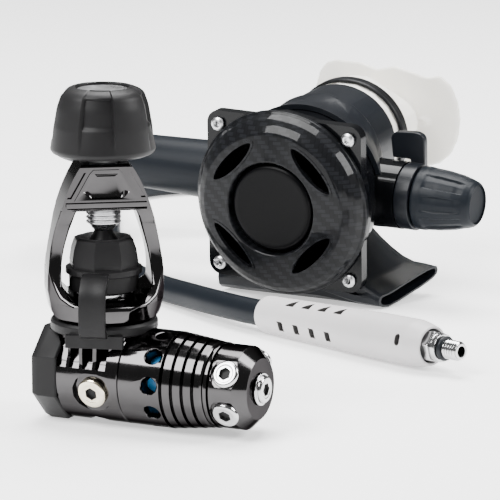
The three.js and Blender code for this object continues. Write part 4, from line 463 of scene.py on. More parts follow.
def rounded_arms(bm):
    """Rounds the long edges of the yoke's arms, which a bevel that stops at short edges leaves sharp."""
    bmesh.ops.dissolve_limit(bm, angle_limit=SMALLEST_BEND * DEG, verts=bm.verts, edges=bm.edges)
    to_yoke = YOKE.inverted()
    low, high = ARM_HEIGHTS
    chosen = [
        e for e in bm.edges
        if len(e.link_faces) == 2 and e.calc_face_angle(0) > ARM_ANGLE * DEG
        and e.calc_length() > SHORTEST_ARM_EDGE * MM
        and all(low < (to_yoke @ v.co).z < high for v in e.verts)
    ]
    bmesh.ops.bevel(
        bm, geom=chosen, offset=ARM_EDGE * MM, offset_type="OFFSET", affect="EDGES", segments=4, profile=0.5,
        material=-1, clamp_overlap=False,
    )


def with_pockets(bm):
    """Sinks a hexagon with sloping walls into the yoke's front and rear plates."""
    yoke = new_object("yoke", bm, YOKE.inverted())
    middle = sum(z for _, z in POCKET) / len(POCKET)
    for turned in (0, 180):
        cutter = prism(POCKET, POCKET_FLOOR, POCKET_FLOOR + POCKET_DEPTH)
        for vert in cutter.verts:
            if -vert.co.y > POCKET_FLOOR + POCKET_DEPTH / 2:
                vert.co.x *= POCKET_FLARE
                vert.co.z = middle + (vert.co.z - middle) * POCKET_FLARE
        bmesh.ops.rotate(cutter, verts=cutter.verts, matrix=Matrix.Rotation(turned * DEG, 3, "Z"))
        carved(yoke, cutter)
    return taken_back(yoke, YOKE)


def stretched_clamp(bm):
    """Widens the clamp's band and sets it back along the mouth tube."""
    return moved(bm, CASE @ CLAMP_STRETCH @ CASE.inverted())


RESHAPED = {"first_stage_body": chamfered_ports, "yoke": with_pockets, "mouthpiece_clamp": stretched_clamp}


def refined(node, material):
    """A softened copy of a CAD node that stands in its place."""
    bm = from_node(node)
    if node == "yoke":
        rounded_arms(bm)
    bevelled(bm, BEVELS.get(node, BEVEL) * MM)
    for faces in ROUND_FACES.get(node, ()):
        made_round(bm, *faces)
    if node in RESHAPED:
        bm = RESHAPED[node](bm)
    return piece(node, bm, HERE, material, crisp=32)


# ---- Finishes
class Shade:
    """A node tree with short calls for adding nodes and links."""

    def __init__(self, tree):
        self.tree = tree

    def node(self, kind, inputs=None, **settings):
        made = self.tree.nodes.new(kind)
        for name, value in settings.items():
            setattr(made, name, value)
        for name, value in (inputs or {}).items():
            self.feed(made.inputs[name], value)
        return made

    def feed(self, socket, value):
        if isinstance(value, bpy.types.NodeSocket):
            self.tree.links.new(value, socket)
        else:
            socket.default_value = value

    def maths(self, operation, first, second=0.0):
        made = self.node("ShaderNodeMath", operation=operation)
        self.feed(made.inputs[0], first)
        self.feed(made.inputs[1], second)
        return made.outputs[0]

    def ramp(self, value, low, high, first=0.0, second=1.0):
        ends = {"From Min": low, "From Max": high, "To Min": first, "To Max": second}
        return self.node("ShaderNodeMapRange", {"Value": value, **ends}).outputs["Result"]

    def noise(self, vector, scale, detail, roughness=0.5):
        inputs = {"Vector": vector, "Scale": scale, "Detail": detail, "Roughness": roughness}
        return self.node("ShaderNodeTexNoise", inputs).outputs["Fac"]

    def brightened(self, color, value):
        return self.node("ShaderNodeHueSaturation", {"Color": color, "Value": value}).outputs["Color"]

    def coordinates(self):
        return self.node("ShaderNodeTexCoord").outputs["Object"]

    def given_out(self, color, roughness, height):
        self.node("NodeGroupOutput", {"Color": color, "Roughness": roughness, "Height": height})
        return self.tree

    def mix(self, factor, first, second):
        made = self.node("ShaderNodeMix", data_type="RGBA")
        self.feed(made.inputs["Factor"], factor)
        self.feed(made.inputs["A"], first)
        self.feed(made.inputs["B"], second)
        return made.outputs["Result"]


def new_group(name, **inputs):
    """A shader node group with named inputs, and outputs for colour, roughness and height."""
    tree = bpy.data.node_groups.new(name, "ShaderNodeTree")
    for socket, value in inputs.items():
        kind = "NodeSocketColor" if isinstance(value, tuple) else "NodeSocketFloat"
        made = tree.interface.new_socket(name=socket, in_out="INPUT", socket_type=kind)
        made.default_value = value
    tree.interface.new_socket(name="Color", in_out="OUTPUT", socket_type="NodeSocketColor")
    for socket in ("Roughness", "Height"):
        tree.interface.new_socket(name=socket, in_out="OUTPUT", socket_type="NodeSocketFloat")
    shade = Shade(tree)
    return shade, shade.node("NodeGroupInput").outputs


def grain_group():
    """Fine grain of a moulded or cast surface, with broad handling marks in its gloss."""
    grey = (0.1, 0.1, 0.1, 1)
    shade, given = new_group("surface_grain", Color=grey, Roughness=0.5, Grain=0.4, Variation=0.1)
    coords = shade.coordinates()
    pitch = shade.maths("DIVIDE", 1000.0, given["Grain"])
    fine = shade.noise(coords, pitch, 2.0, 0.6)
    broad = shade.noise(coords, 45.0, 4.0, 0.55)
    swing = shade.maths("MULTIPLY", shade.ramp(broad, 0.3, 0.7, -1.0, 1.0), given["Variation"])
    lifted = shade.brightened(given["Color"], shade.maths("ADD", swing, 1.0))
    rough = shade.maths("ADD", given["Roughness"], shade.maths("MULTIPLY", swing, 0.35))
    return shade.given_out(lifted, rough, fine)


def polish_group():
    """Polished plated metal: faint cloudiness and hairline scratches."""
    shade, given = new_group("plating_polish", Color=(0.5, 0.5, 0.5, 1), Roughness=0.1, Wear=0.3)
    coords = shade.coordinates()
    cloud = shade.noise(coords, 70.0, 5.0, 0.6)
    drawn_out = {"Vector": coords, "Scale": (1, 1, 14), "Rotation": (0.4, 0.5, 0)}
    stretch = shade.node("ShaderNodeMapping", drawn_out)
    lines = shade.noise(stretch.outputs["Vector"], 320.0, 3.0)
    haze = shade.ramp(cloud, 0.35, 0.75, 0.0, 0.1)
    hair = shade.ramp(lines, 0.55, 0.75, 0.0, 0.08)
    added = shade.maths("MULTIPLY", shade.maths("ADD", haze, hair), given["Wear"])
    dimmed = shade.brightened(given["Color"], shade.ramp(cloud, 0.3, 0.7, 0.9, 1.08))
    return shade.given_out(dimmed, shade.maths("ADD", given["Roughness"], added), lines)


def weave_group():
    """Twill-woven carbon fibre seen through lacquer, as a height, a colour and a gloss."""
    shade, given = new_group(
        "carbon_weave", Thread=2.2, Dark=(0.002, 0.0022, 0.0026, 1), Light=(0.0085, 0.009, 0.0105, 1),
    )
    facing = (0, 0, CASE_TURN * DEG)
    turned = shade.node("ShaderNodeMapping", {"Vector": shade.coordinates(), "Rotation": facing})
    parts = shade.node("ShaderNodeSeparateXYZ", {"Vector": turned.outputs["Vector"]})
    pitch = shade.maths("DIVIDE", 1000.0, given["Thread"])
    across = shade.maths("MULTIPLY", parts.outputs["X"], pitch)
    upward = shade.maths("MULTIPLY", parts.outputs["Z"], pitch)
    step = shade.maths("ADD", shade.maths("FLOOR", across), shade.maths("FLOOR", upward))
    over = shade.maths("LESS_THAN", shade.maths("FLOORED_MODULO", step, 4.0), 1.5)
    warp = shade.maths("PINGPONG", across, 0.5)
    weft = shade.maths("PINGPONG", upward, 0.5)
    chosen = shade.node("ShaderNodeMix", {"Factor": over})
    shade.feed(chosen.inputs["A"], warp)
    shade.feed(chosen.inputs["B"], weft)
    height = shade.ramp(chosen.outputs["Result"], 0.0, 0.16)
    fibres = shade.noise(turned.outputs["Vector"], 900.0, 2.0)
    tone = shade.maths("MULTIPLY", height, shade.ramp(over, 0.0, 1.0, 0.3, 1.0))
    tone = shade.maths("MULTIPLY", tone, shade.ramp(fibres, 0.3, 0.7, 0.75, 1.1))
    color = shade.mix(tone, given["Dark"], given["Light"])
    return shade.given_out(color, shade.ramp(over, 0.0, 1.0, 0.5, 0.38), height)


def shared_group(build, name):
    """The node group of a name, built at its first use."""
    return bpy.data.node_groups.get(name) or build()


def finish(name, group, inputs, bump, **sockets):
    """A material whose colour, roughness and bump come from a shared group."""
    name += "_finish"
    if name in bpy.data.materials:
        return bpy.data.materials[name]
    material = bpy.data.materials.new(name)
    material.use_nodes = True
    shade = Shade(material.node_tree)
    surface = material.node_tree.nodes["Principled BSDF"]
    source = shade.node("ShaderNodeGroup")
    source.node_tree = group
    for socket, value in inputs.items():
        source.inputs[socket].default_value = value
    shade.feed(surface.inputs["Base Color"], source.outputs["Color"])
    shade.feed(surface.inputs["Roughness"], source.outputs["Roughness"])
    height = source.outputs["Height"]
    relief = shade.node("ShaderNodeBump", {"Height": height, "Distance": 0.2 * MM, "Strength": bump})
    shade.feed(surface.inputs["Normal"], relief.outputs["Normal"])
    for socket, value in sockets.items():
        surface.inputs[socket.replace("_", " ")].default_value = value
    material.diffuse_color = (*inputs.get("Color", (0.1, 0.1, 0.1, 1))[:3], 1)
    return material


def moulded(name, color, roughness, grain, variation, bump, **sockets):
    """A moulded material, with its grain's width in millimetres."""
    group = shared_group(grain_group, "surface_grain")
    inputs = {"Color": (*color, 1), "Roughness": roughness, "Grain": grain, "Variation": variation}
    return finish(name, group, inputs, bump, **sockets)


def plated(name, color, roughness, wear, **sockets):
    """A plated or polished metal, with more or less haze and scratches."""
    group = shared_group(polish_group, "plating_polish")
    inputs = {"Color": (*color, 1), "Roughness": roughness, "Wear": wear}
    return finish(name, group, inputs, 0.015, Metallic=1.0, **sockets)


def setting(name):
    """What the panel holds under a name."""
    return getattr(bpy.context.scene.regulator_finish, name)


def black_chrome():
    return plated("black_chrome", setting("plating"), 0.08, 0.5, Specular_Tint=(0.3, 0.3, 0.3, 1))


def bright_chrome():
    return plated("bright_chrome", (0.5, 0.5, 0.505), 0.12, 0.6)


def satin_steel():
    return plated("satin_steel", (0.55, 0.55, 0.56), 0.26, 1.0)


def pale_gold():
    return plated("pale_gold", (0.78, 0.72, 0.56), 0.16, 0.8)


def dark_rubber():
    return moulded("dark_rubber", setting("rubber"), 0.44, 0.35, 0.1, 0.18, Specular_IOR_Level=0.16)


def button_plastic():
    color = (0.0012, 0.0012, 0.0015)
    return moulded("button_plastic", color, 0.34, 0.3, 0.1, 0.1, Specular_IOR_Level=0.07)


# Painted shadow: a dark matte grey for the faces of the metal plugs' and bolt's hexagonal sockets, standing
# in for the shade in the recess
def socket_shadow():
    return moulded("socket_shadow", (0.02, 0.02, 0.02), 0.6, 0.4, 0.05, 0.05, Specular_IOR_Level=0.2)


def diaphragm_rubber():
    color = (0.0025, 0.0025, 0.0028)
    return moulded("diaphragm_rubber", color, 0.6, 0.4, 0.05, 0.05, Specular_IOR_Level=0.08)


def ring_rubber():
    return moulded("ring_rubber", (0.003, 0.0042, 0.0065), 0.4, 0.4, 0.05, 0.02, Specular_IOR_Level=0.25)


def dark_plate():
    return moulded("dark_plate", (0.014, 0.0155, 0.018), 0.55, 0.4, 0.1, 0.05, Specular_IOR_Level=0.03)


def matte_black():
    color = (0.004, 0.0042, 0.005)
    return moulded("matte_black_plastic", color, 0.4, 0.3, 0.1, 0.15, Specular_IOR_Level=0.15)


def gloss_black():
    return moulded(
        "gloss_black_plastic", (0.0022, 0.0024, 0.003), 0.22, 0.8, 0.15, 0.02, Coat_Weight=0.2,
        Coat_Roughness=0.04, Specular_IOR_Level=0.08,
    )


def blue_black():
    color = (0.0045, 0.0056, 0.0078)
    return moulded("blue_black_plastic", color, 0.36, 0.35, 0.12, 0.1, Specular_IOR_Level=0.2)


def slate_rubber():
    return moulded("slate_rubber", setting("hose"), 0.42, 0.5, 0.1, 0.2, Specular_IOR_Level=0.13)


def pale_rubber():
    return moulded("pale_rubber", setting("guard"), 0.46, 0.5, 0.03, 0.08)


# Painted shade: a darker grey-brown for the side walls of the guard's openings, standing in for the shade
# inside them
def guard_wall_painted_shade():
    return moulded("guard_wall_painted_shade", (0.09, 0.086, 0.084), 0.6, 0.5, 0.05, 0.08, Specular_IOR_Level=0.2)


def clear_silicone():
    return moulded(
        "clear_silicone", (0.8, 0.78, 0.73), 0.32, 1.2, 0.04, 0.05, Subsurface_Weight=0.35,
        Subsurface_Radius=(1, 1, 0.95), Subsurface_Scale=3 * MM,
    )


def blue_plastic():
    return moulded("blue_plastic", (0.02, 0.22, 0.5), 0.3, 0.6, 0.1, 0.05)


def sintered_brass():
    return moulded("sintered_brass", (0.42, 0.28, 0.1), 0.5, 0.25, 0.2, 0.5, Metallic=1.0)


def pale_floor():
    return moulded(
        "pale_floor", (0.96, 0.96, 0.96), 0.6, 1.0, 0.005, 0.0, Emission_Color=(1, 1, 1, 1),
        Emission_Strength=0.7,
    )


def carbon():
    weave = shared_group(weave_group, "carbon_weave")
    return finish(
        "carbon_lacquer", weave, {"Thread": setting("thread")}, 0.05, Specular_IOR_Level=0.04,
        Coat_Weight=0.2, Coat_Roughness=0.03,
    )


# ---- What a user would change
def colour(name, description, default):
    return FloatVectorProperty(
        name=name, description="Colour of " + description, subtype="COLOR", default=default, min=0, max=1,
    )


class RegulatorFinish(bpy.types.PropertyGroup):
    """Colours and fine sizes of the regulator's finishes"""

    plating: colour("Plating", "the black-chrome body and yoke", (0.064, 0.062, 0.063))
    rubber: colour("Knob rubber", "the clamp knob and the dust cap", (0.008, 0.0078, 0.0082))
    hose: colour("Hose rubber", "the hose and its sleeve", (0.005, 0.0068, 0.0096))
    guard: colour("Guard", "the free end's guard", (0.5, 0.486, 0.49))
    thread: FloatProperty(
        name="Weave", description="Width of one tow of the carbon weave in millimetres",
        default=2.2, min=0.5, max=6,
    )
    screw_pitch: FloatProperty(
        name="Screw pitch", description="Distance between the yoke screw's threads in millimetres",
        default=2.0, min=0.8, max=4,
    )
    knob_steps: IntProperty(
        name="Knob facets", description="Steps round the clamp knob", default=128, min=48, max=256,
    )


# ---- Pieces
CAMERA_AT = (0, -1766.3, 437.3)
CAMERA_LENS = 288
LOOKING_DOWN = 11.5


class REGULATOR_OT_camera(bpy.types.Operator):
    """Set up the camera at the photograph's angle"""

    bl_idname = "regulator.camera"
    bl_label = "Camera"

    def execute(self, context):
        data = bpy.data.cameras.new("camera")
        data.lens = CAMERA_LENS
        data.sensor_width = 36
        data.clip_end = 20
        camera = bpy.data.objects.new("camera", data)
        camera.location = ORIGIN + Vector(CAMERA_AT) * MM
        camera.rotation_euler = ((90 - LOOKING_DOWN) * DEG, 0, 0)
        context.scene.collection.objects.link(camera)
        context.scene.camera = camera
        return {"FINISHED"}


HOSE_DIAMETER_M = 0.0132


class REGULATOR_OT_hose(bpy.types.Operator):
    """Lay the low-pressure hose along its route"""

    bl_idname = "regulator.hose"
    bl_label = "Hose"

    def execute(self, context):
        data = bpy.data.curves.new("low_pressure_hose_finished", "CURVE")
        data.dimensions = "3D"
        data.bevel_depth = HOSE_DIAMETER_M / 2
        data.bevel_resolution = 7
        data.resolution_u = 10
        data.use_fill_caps = True
        spline = data.splines.new("BEZIER")
        spline.bezier_points.add(len(HOSE_ROUTE_M) - 1)
        for point, at in zip(spline.bezier_points, HOSE_ROUTE_M):
            point.co = ORIGIN + Vector(at)
            point.handle_left_type = point.handle_right_type = "AUTO"
        hose = bpy.data.objects.new("low_pressure_hose_finished", data)
        context.scene.collection.objects.link(hose)
        placed(hose, "low_pressure_hose", slate_rubber())
        return {"FINISHED"}


KNOB_BASE = 120.6
KNOB_HEIGHT = 32.2
KNOB_RADIUS = 23.8
KNOB_BORE = 6.9
BORE_END = 18
KNOB_DISH = 13.4
KNOB_FOOT = 2.6
FLUTES = 4
FLUTE_HALF_ANGLE = 20
FLUTE_WALL_ANGLE = 1.4
FLUTES_TURNED_BY = -13.6
FLUTE_SINK = [(4, 0), (9, 0.6), (15.4, 1.6), (16.1, 2.5), (28.2, 2.3), (28.9, 1.3), (KNOB_HEIGHT, 1.1)]


class REGULATOR_OT_knob(bpy.types.Operator):
    """Model the clamp knob with its stepped flutes"""

    bl_idname = "regulator.knob"
    bl_label = "Clamp knob"

    def execute(self, context):
        rim, top = KNOB_RADIUS, KNOB_HEIGHT
        outline = softened([
            (KNOB_BORE, 0), (10.4, 0), (10.4, 1.2), (rim - 4, 1.2), (rim - 0.9, 2.4), (rim, 4),
            (rim - 0.9, 14.5), (rim - 2.5, 23.5), (rim - 4.4, top - 3.4), (rim - 6.6, top - 1.5),
            (rim - 9, top - 0.5), (13.2, top), (12.2, top - 0.4), (12.2, top - 2.6), (0, top - 2.6),
        ], 1.6, 4)
        profile = [(0, BORE_END), (KNOB_BORE, BORE_END), *outline]
        bm = spun(filled_in(profile, 0.8), setting("knob_steps") * 2)
        for vert in bm.verts:
            if radius_of(vert) < KNOB_DISH or vert.co.z < KNOB_FOOT:
                continue
            off = off_middle(vert, -FLUTES_TURNED_BY, FLUTES)
            inside = clamped((FLUTE_HALF_ANGLE + FLUTE_WALL_ANGLE / 2 - off) / FLUTE_WALL_ANGLE)
            sunk(vert, along_table(FLUTE_SINK, vert.co.z) * inside)
        place = YOKE @ Matrix.Translation((0, 0, KNOB_BASE))
        piece("yoke_knob", bm, place, dark_rubber(), crisp=38)
        return {"FINISHED"}


def ringed(low, high, crest, root, pitch):
    """Profile points of a thread drawn as rings, from a low to a high place."""
    at, points = low, []
    while at + pitch <= high:
        points += [(root, at), (crest, at + 0.38 * pitch)]
        points += [(crest, at + 0.55 * pitch), (root, at + 0.93 * pitch)]
        at += pitch
    return points


SCREW_TIP = 87.9


class REGULATOR_OT_screw(bpy.types.Operator):
    """Turn the yoke screw with its thread"""

    bl_idname = "regulator.screw"
    bl_label = "Yoke screw"

    def execute(self, context):
        pitch = setting("screw_pitch")
        tip = SCREW_TIP
        profile = [
            (0, tip), (4.6, tip), (5, tip + 0.4), (6.6, tip + 2.4),
            *ringed(tip + 2.5, KNOB_BASE - 0.5, 7.9, 6.8, pitch),
            (6.6, KNOB_BASE - 0.4), (6.6, KNOB_BASE + 20.6), (0, KNOB_BASE + 20.6),
        ]
        piece("yoke_screw", spun(profile), YOKE, satin_steel(), crisp=40)
        return {"FINISHED"}


SOCKET_FLATS = 5.4
PLUG_FACE = 2.1
PLUG_SOCKET = 1.9
BOLT_FACE = 2.6
BOLT_SOCKET = 1.6
LP_SEAT = 18.0
LP_TILT = 29
LP_AT = 69.9
HP_SEAT = 20.1
HP_TILT = -15
HP_AT = 4.6
BOLT_SEAT = 79.2


def out_of_body(distance, tilt, at, back=False):
    """A frame whose +Z points straight out of the first stage's body."""
    out = -(90 - tilt) if back else 90 - tilt
    place = Matrix.Translation((at, 0, 0)) @ Matrix.Rotation(out * DEG, 4, "X")
    return BODY @ place @ Matrix.Translation((0, 0, distance))


def port_plug(rim, lip):
    """The profile of a port plug: a shank, a flange and a face a little below the flange's lip."""
    return [
        (0, -5), (4.2, -5), (4.2, 0), (rim, 0), (rim, 1.5), (rim - 0.8, 2.3), (lip, 2.3),
        (lip - 0.3, PLUG_FACE), (0, PLUG_FACE),
    ]


class REGULATOR_OT_plugs(bpy.types.Operator):
    """Turn the port plugs and the turret's end bolt, with painted shadow on the faces of their hexagonal
    sockets
    """

    bl_idname = "regulator.plugs"
    bl_label = "Plugs"

    def socketed(self, node, profile, face, depth, place, material):
        plug = new_object(node + "_finished", spun(softened(profile, 0.45, 3), 72))
        corner = SOCKET_FLATS / math.sqrt(3)
        carved(plug, cone(6, corner, corner, 2 * depth, Matrix.Translation((0, 0, face))))
        margin = 0.05
        # Painted shadow: the socket's floor and walls take the dark socket material instead of the plug's
        # metal
        dark = [
            polygon.index for polygon in plug.data.polygons
            if polygon.center.xy.length < corner
            and face - depth - margin < polygon.center.z < face - margin
        ]
        plug.data.transform(place)
        placed(smooth_by_angle(plug, 35), node, material)
        second_material(plug, socket_shadow(), dark)

    def execute(self, context):
        for count, (tilt, back) in enumerate(((1, False), (-1, False), (1, True), (-1, True)), 1):
            place = out_of_body(LP_SEAT, tilt * LP_TILT, LP_AT, back)
            node, profile = f"low_pressure_plug_{count}", port_plug(6.2, 4.2)
            self.socketed(node, profile, PLUG_FACE, PLUG_SOCKET, place, bright_chrome())
        for side, back in (("front", False), ("rear", True)):
            place = out_of_body(HP_SEAT, HP_TILT, HP_AT, back)
            node, profile = "high_pressure_plug_" + side, port_plug(7, 4.4)
            self.socketed(node, profile, PLUG_FACE, PLUG_SOCKET, place, pale_gold())
        profile = [
            (0, 0), (7.4, 0), (7.4, 0.8), (6.2, 0.9), (6.2, 2.0), (5.4, 2.8), (4, 2.8), (3.7, BOLT_FACE),
            (0, BOLT_FACE),
        ]
        place = BODY @ Matrix.Translation((BOLT_SEAT, 0, 0)) @ Matrix.Rotation(math.pi / 2, 4, "Y")
        self.socketed("turret_end_bolt", profile, BOLT_FACE, BOLT_SOCKET, place, bright_chrome())
        return {"FINISHED"}


COVER_RADIUS = 48.5
COVER_RISE = 17.0
SLOT_RADIUS = 31.5
SLOT_STEPS = 56
SLOT_ANGLES = (45, 135, 225, 315)
SLOT_LENGTH, SLOT_WIDTH = 30, 7.6
LIP_LENGTH, LIP_WIDTH = 33.6, 9.6
LIP_HEIGHT = 0.35
TURNED_STEPS = 160


def slot_prism(angle, length, width):
    """A lens-shaped prism through the cover, across one of its diagonals."""
    points = []
    for i in range(SLOT_STEPS):
        turn = 2 * math.pi * i / SLOT_STEPS
        along, side = math.cos(turn), math.sin(turn)
        half = width / 2 * abs(side) ** 1.25
        points.append((SLOT_RADIUS + math.copysign(half, side), along * length / 2))
    return prism(points, 2, 24, Matrix.Rotation(-angle * DEG, 4, "Y"))


class REGULATOR_OT_cover(bpy.types.Operator):
    """Model the purge cover with its four lipped slots, and the button in it"""

    bl_idname = "regulator.cover"
    bl_label = "Purge cover"

    def execute(self, context):
        rim, rise = COVER_RADIUS, COVER_RISE
        outer = [
            (rim - 0.5, 1.5), (rim, 2.2), (rim, 4.6), (rim - 1.4, 5.4), (rim - 1.6, 6.0), (rim - 3.2, 9.6),
            (rim - 5.6, 12.2), (rim - 9.0, 14.4), (rim - 10.2, 14.7), (28, 16.4), (25.0, rise),
        ]
        inner = [
            (24.2, rise - 0.6), (24.2, 10), (26.4, 10), (26.4, 14.3), (36.2, 12.6), (rim - 9, 11.4),
            (rim - 5, 7), (rim - 2.4, 1.5), (rim - 0.5, 1.5),
        ]
        cover = new_object("cover", spun(softened([*outer, *inner], 0.6, 3), TURNED_STEPS, "-Y"))
        raised = [(radius, height + LIP_HEIGHT) for radius, height in outer[6:]]
        lips = spun([*raised, (25, 14.8), (rim - 5.6, 11.4), raised[0]], TURNED_STEPS, "-Y")
        for angle in SLOT_ANGLES:
            lip = new_object("lip", lips.copy())
            carved(lip, slot_prism(angle, LIP_LENGTH, LIP_WIDTH), "INTERSECT")
            carved(cover, taken_back(lip), "UNION")
        lips.free()
        for angle in SLOT_ANGLES:
            carved(cover, slot_prism(angle, SLOT_LENGTH, SLOT_WIDTH))
        piece("front_cover", bevelled(taken_back(cover), 0.18, 35), CASE, carbon(), crisp=40)
        profile = softened([
            (0, -8.1), (3.6, -8.1), (3.6, 11.5), (22.6, 11.5), (22.6, 14.2), (21.2, 15.3), (19.6, 15.5),
            (14, 15.1), (0, 14.8),
        ], 0.7, 4)
        piece("purge_button", spun(profile, 128, "-Y"), CASE, button_plastic(), crisp=40)
        return {"FINISHED"}


INHALE_FROM = 60.6
INHALE_LENGTH = 31.6
INHALE_RADIUS = 16.4
INHALE_FLOOR = 4
INHALE_DISH = 10.4
INHALE_FOOT = 5
INHALE_PANELS = 8
INHALE_TURNED_BY = 6
PANEL_HALF_ANGLE = 15.5
PANEL_WALL_ANGLE = 1.6
PANEL_CROWN = 0.45
CROWN_HALF_ANGLE = 12
INHALE_SINK = [(5.5, 0), (7.0, 0.55), (12, 1.0), (24, 0.9), (26.6, 0.3), (27.2, 0)]


class REGULATOR_OT_inhale(bpy.types.Operator):
    """Model the inhalation control knob with its sunken grip panels"""

    bl_idname = "regulator.inhale"
    bl_label = "Inhalation knob"

    def execute(self, context):
        rim, end = INHALE_RADIUS, INHALE_LENGTH
        outline = softened([
            (5.3, 0), (rim - 1.2, 0), (rim, 1.0), (rim, 4.2), (rim - 0.3, 6), (rim - 0.9, 14),
            (rim - 2.2, 22), (rim - 3.6, 27), (rim - 4.8, end - 1.2), (rim - 6.2, end), (10.1, end),
            (9.9, end - 1.6), (9.9, end - INHALE_FLOOR),
        ], 0.9, 4)
        profile = [(0, 9), (5.3, 9), *outline, (0, end - INHALE_FLOOR)]
        bm = spun(filled_in(profile, 0.7), 240)
        for vert in bm.verts:
            if radius_of(vert) < INHALE_DISH or vert.co.z < INHALE_FOOT:
                continue
            off = off_middle(vert, INHALE_TURNED_BY, INHALE_PANELS)
            inside = clamped((PANEL_HALF_ANGLE - off) / PANEL_WALL_ANGLE)
            crown = 1 - PANEL_CROWN + PANEL_CROWN * clamped(off / CROWN_HALF_ANGLE)
            sunk(vert, along_table(INHALE_SINK, vert.co.z) * inside * crown)
        barrel = Matrix.Translation((INHALE_FROM, BARREL_Y, 0)) @ Matrix.Rotation(math.pi / 2, 4, "Y")
        piece("inhale_knob", bm, CASE @ barrel, slate_rubber(), crisp=34)
        return {"FINISHED"}


GUARD_SKIN = [(0, 8.6), (1.5, 9.3), (41, 10.2), (83, 11.6), (105, 11.6)]
GUARD_BORE = 8.7
# Depth of the lit band at the top of each opening's wall, which keeps the guard's colour above the painted
# shade
LIT_WALL = 0.45
OPENING_REACH = 3
RELIEF = [(0.0, 0.0), (6.0, 0.0), (9.0, 1.0), (54.0, 1.0), (62.0, 0.0)]
RELIEF_ANGLE = -46
RELIEF_HALF_ANGLE = 28
RELIEF_WALL_ANGLE = 3
RELIEF_SINK = 0.55
OPENING_ROWS = 4
OPENING_PITCH = 11.2
GUARD_SLOT_ANGLE, GUARD_SLOT_FROM = 31, 18.9
GUARD_NOTCH_ANGLE, GUARD_NOTCH_FROM = -52, 22.5
WINDOW_AT = 101
WINDOW_RADIUS = 1.6
WINDOW_STRETCH = 1.3
NUT_RADIUS = 8.1
NUT_LENGTH = 17
NUT_MIDDLE = 109
RING_AT = 122.5
RING_RADIUS = 4.9
RING_WIRE = 1.1


def guard_openings():
    """The outlines of the guard's openings, each with its place in the guard's own frame."""
    slot = [(-2.7, -1.8), (2.7, -1.8), (2.7, 1.8), (-2.7, 1.8)]
    notch = [(-2.7, 2.7), (2.7, 2.7), (2.7, -2.7), (1.9, -2.7)]
    window = []
    for i in range(24):
        across, along = math.cos(math.pi * (i + 0.5) / 12), math.sin(math.pi * (i + 0.5) / 12)
        window.append((WINDOW_RADIUS * across + math.copysign(WINDOW_STRETCH, across), WINDOW_RADIUS * along))
    openings = [(window, 0, WINDOW_AT)]
    for i in range(OPENING_ROWS):
        openings.append((slot, GUARD_SLOT_ANGLE, GUARD_SLOT_FROM + OPENING_PITCH * i))
        openings.append((notch, GUARD_NOTCH_ANGLE, GUARD_NOTCH_FROM + OPENING_PITCH * i))
    return [
        (points, Matrix.Translation((0, 0, at)) @ Matrix.Rotation(angle * DEG, 4, "Z"))
        for points, angle, at in openings
    ]


def in_opening(polygon, place):
    """Whether a face of the guard is a side wall of the opening at a place, below the lit band at the
    surface: the faces that get painted shade.
    """
    near = place.inverted() @ polygon.center
    shaded_from = along_table(GUARD_SKIN, polygon.center.z) - LIT_WALL
    outward = Vector((polygon.center.x, polygon.center.y, 0)).normalized()
    within = max(abs(near.x), abs(near.z)) < OPENING_REACH and -shaded_from < near.y < 0
    return within and abs(polygon.normal.dot(outward)) < 0.5


class REGULATOR_OT_guard(bpy.types.Operator):
    """Model the free end's guard with its window, slots and notches"""

    bl_idname = "regulator.guard"
    bl_label = "Guard"

    def execute(self, context):
        outline = softened([
            (8.2, 0), (8.6, 0), (9.3, 1.5), (10.4, 41), (11.6, 83), (11.6, 104.5), (10.7, 109.5), (9.6, 114),
            (8.4, 114), (8.4, 90), (6.9, 90), (6.9, 6), (8.2, 0),
        ], 0.8, 3)
        bm = spun(filled_in(outline, 2.5), 144)
        for vert in bm.verts:
            if radius_of(vert) < GUARD_BORE:
                continue
            off = abs(math.degrees(math.atan2(-vert.co.x, -vert.co.y)) - RELIEF_ANGLE)
            inside = clamped((RELIEF_HALF_ANGLE - off) / RELIEF_WALL_ANGLE)
            sunk(vert, RELIEF_SINK * inside * along_table(RELIEF, vert.co.z))
        guard = new_object("guard", bm)
        openings = guard_openings()
        for points, place in openings:
            carved(guard, prism(points, 6.5, 14, place))
        guard = new_object("hose_end_guard_finished", bevelled(taken_back(guard), 0.25, 40))
        # Painted shade: the openings' side walls below the lit band get a darker material, standing in for
        # the shade inside them
        walls = [
            polygon.index for polygon in guard.data.polygons
            if any(in_opening(polygon, place) for _, place in openings)
        ]
        guard.data.transform(GUARD)
        placed(smooth_by_angle(guard, 40), "hose_end_guard", pale_rubber())
        second_material(guard, guard_wall_painted_shade(), walls)
        return {"FINISHED"}


class REGULATOR_OT_fitting(bpy.types.Operator):
    """Turn the free end's fitting with its nut and thread, and the O-ring on it"""

    bl_idname = "regulator.fitting"
    bl_label = "Fitting"

    def execute(self, context):
        profile = softened([
            (2.6, 90.4), (6.6, 90.4), (6.6, 117.5), (5.9, 117.7), (5.9, 118.3), (6.9, 118.6), (6.9, 121.2),
            (4.0, 121.4), (4.0, 123.6), (3.9, 123.8), *ringed(123.9, 132.4, 4.75, 3.7, 1.6), (4.0, 132.8),
            (2.6, 132.8), (2.6, 90.4),
        ], 0.3, 2)
        nut = cone(6, NUT_RADIUS, NUT_RADIUS, NUT_LENGTH, Matrix.Translation((0, 0, NUT_MIDDLE)))
        nut = new_object("nut", bevelled(nut, 0.5, 20))
        bm = spun(profile, 96)
        bm.from_mesh(nut.data)
        bpy.data.objects.remove(nut)
        piece("hose_fitting", bm, GUARD, bright_chrome(), crisp=40)
        section = []
        for i in range(17):
            turn = math.pi * i / 8
            section.append((RING_RADIUS + RING_WIRE * math.cos(turn), RING_AT + RING_WIRE * math.sin(turn)))
        piece("fitting_o_ring", spun(section, 72), GUARD, ring_rubber(), crisp=40)
        return {"FINISHED"}


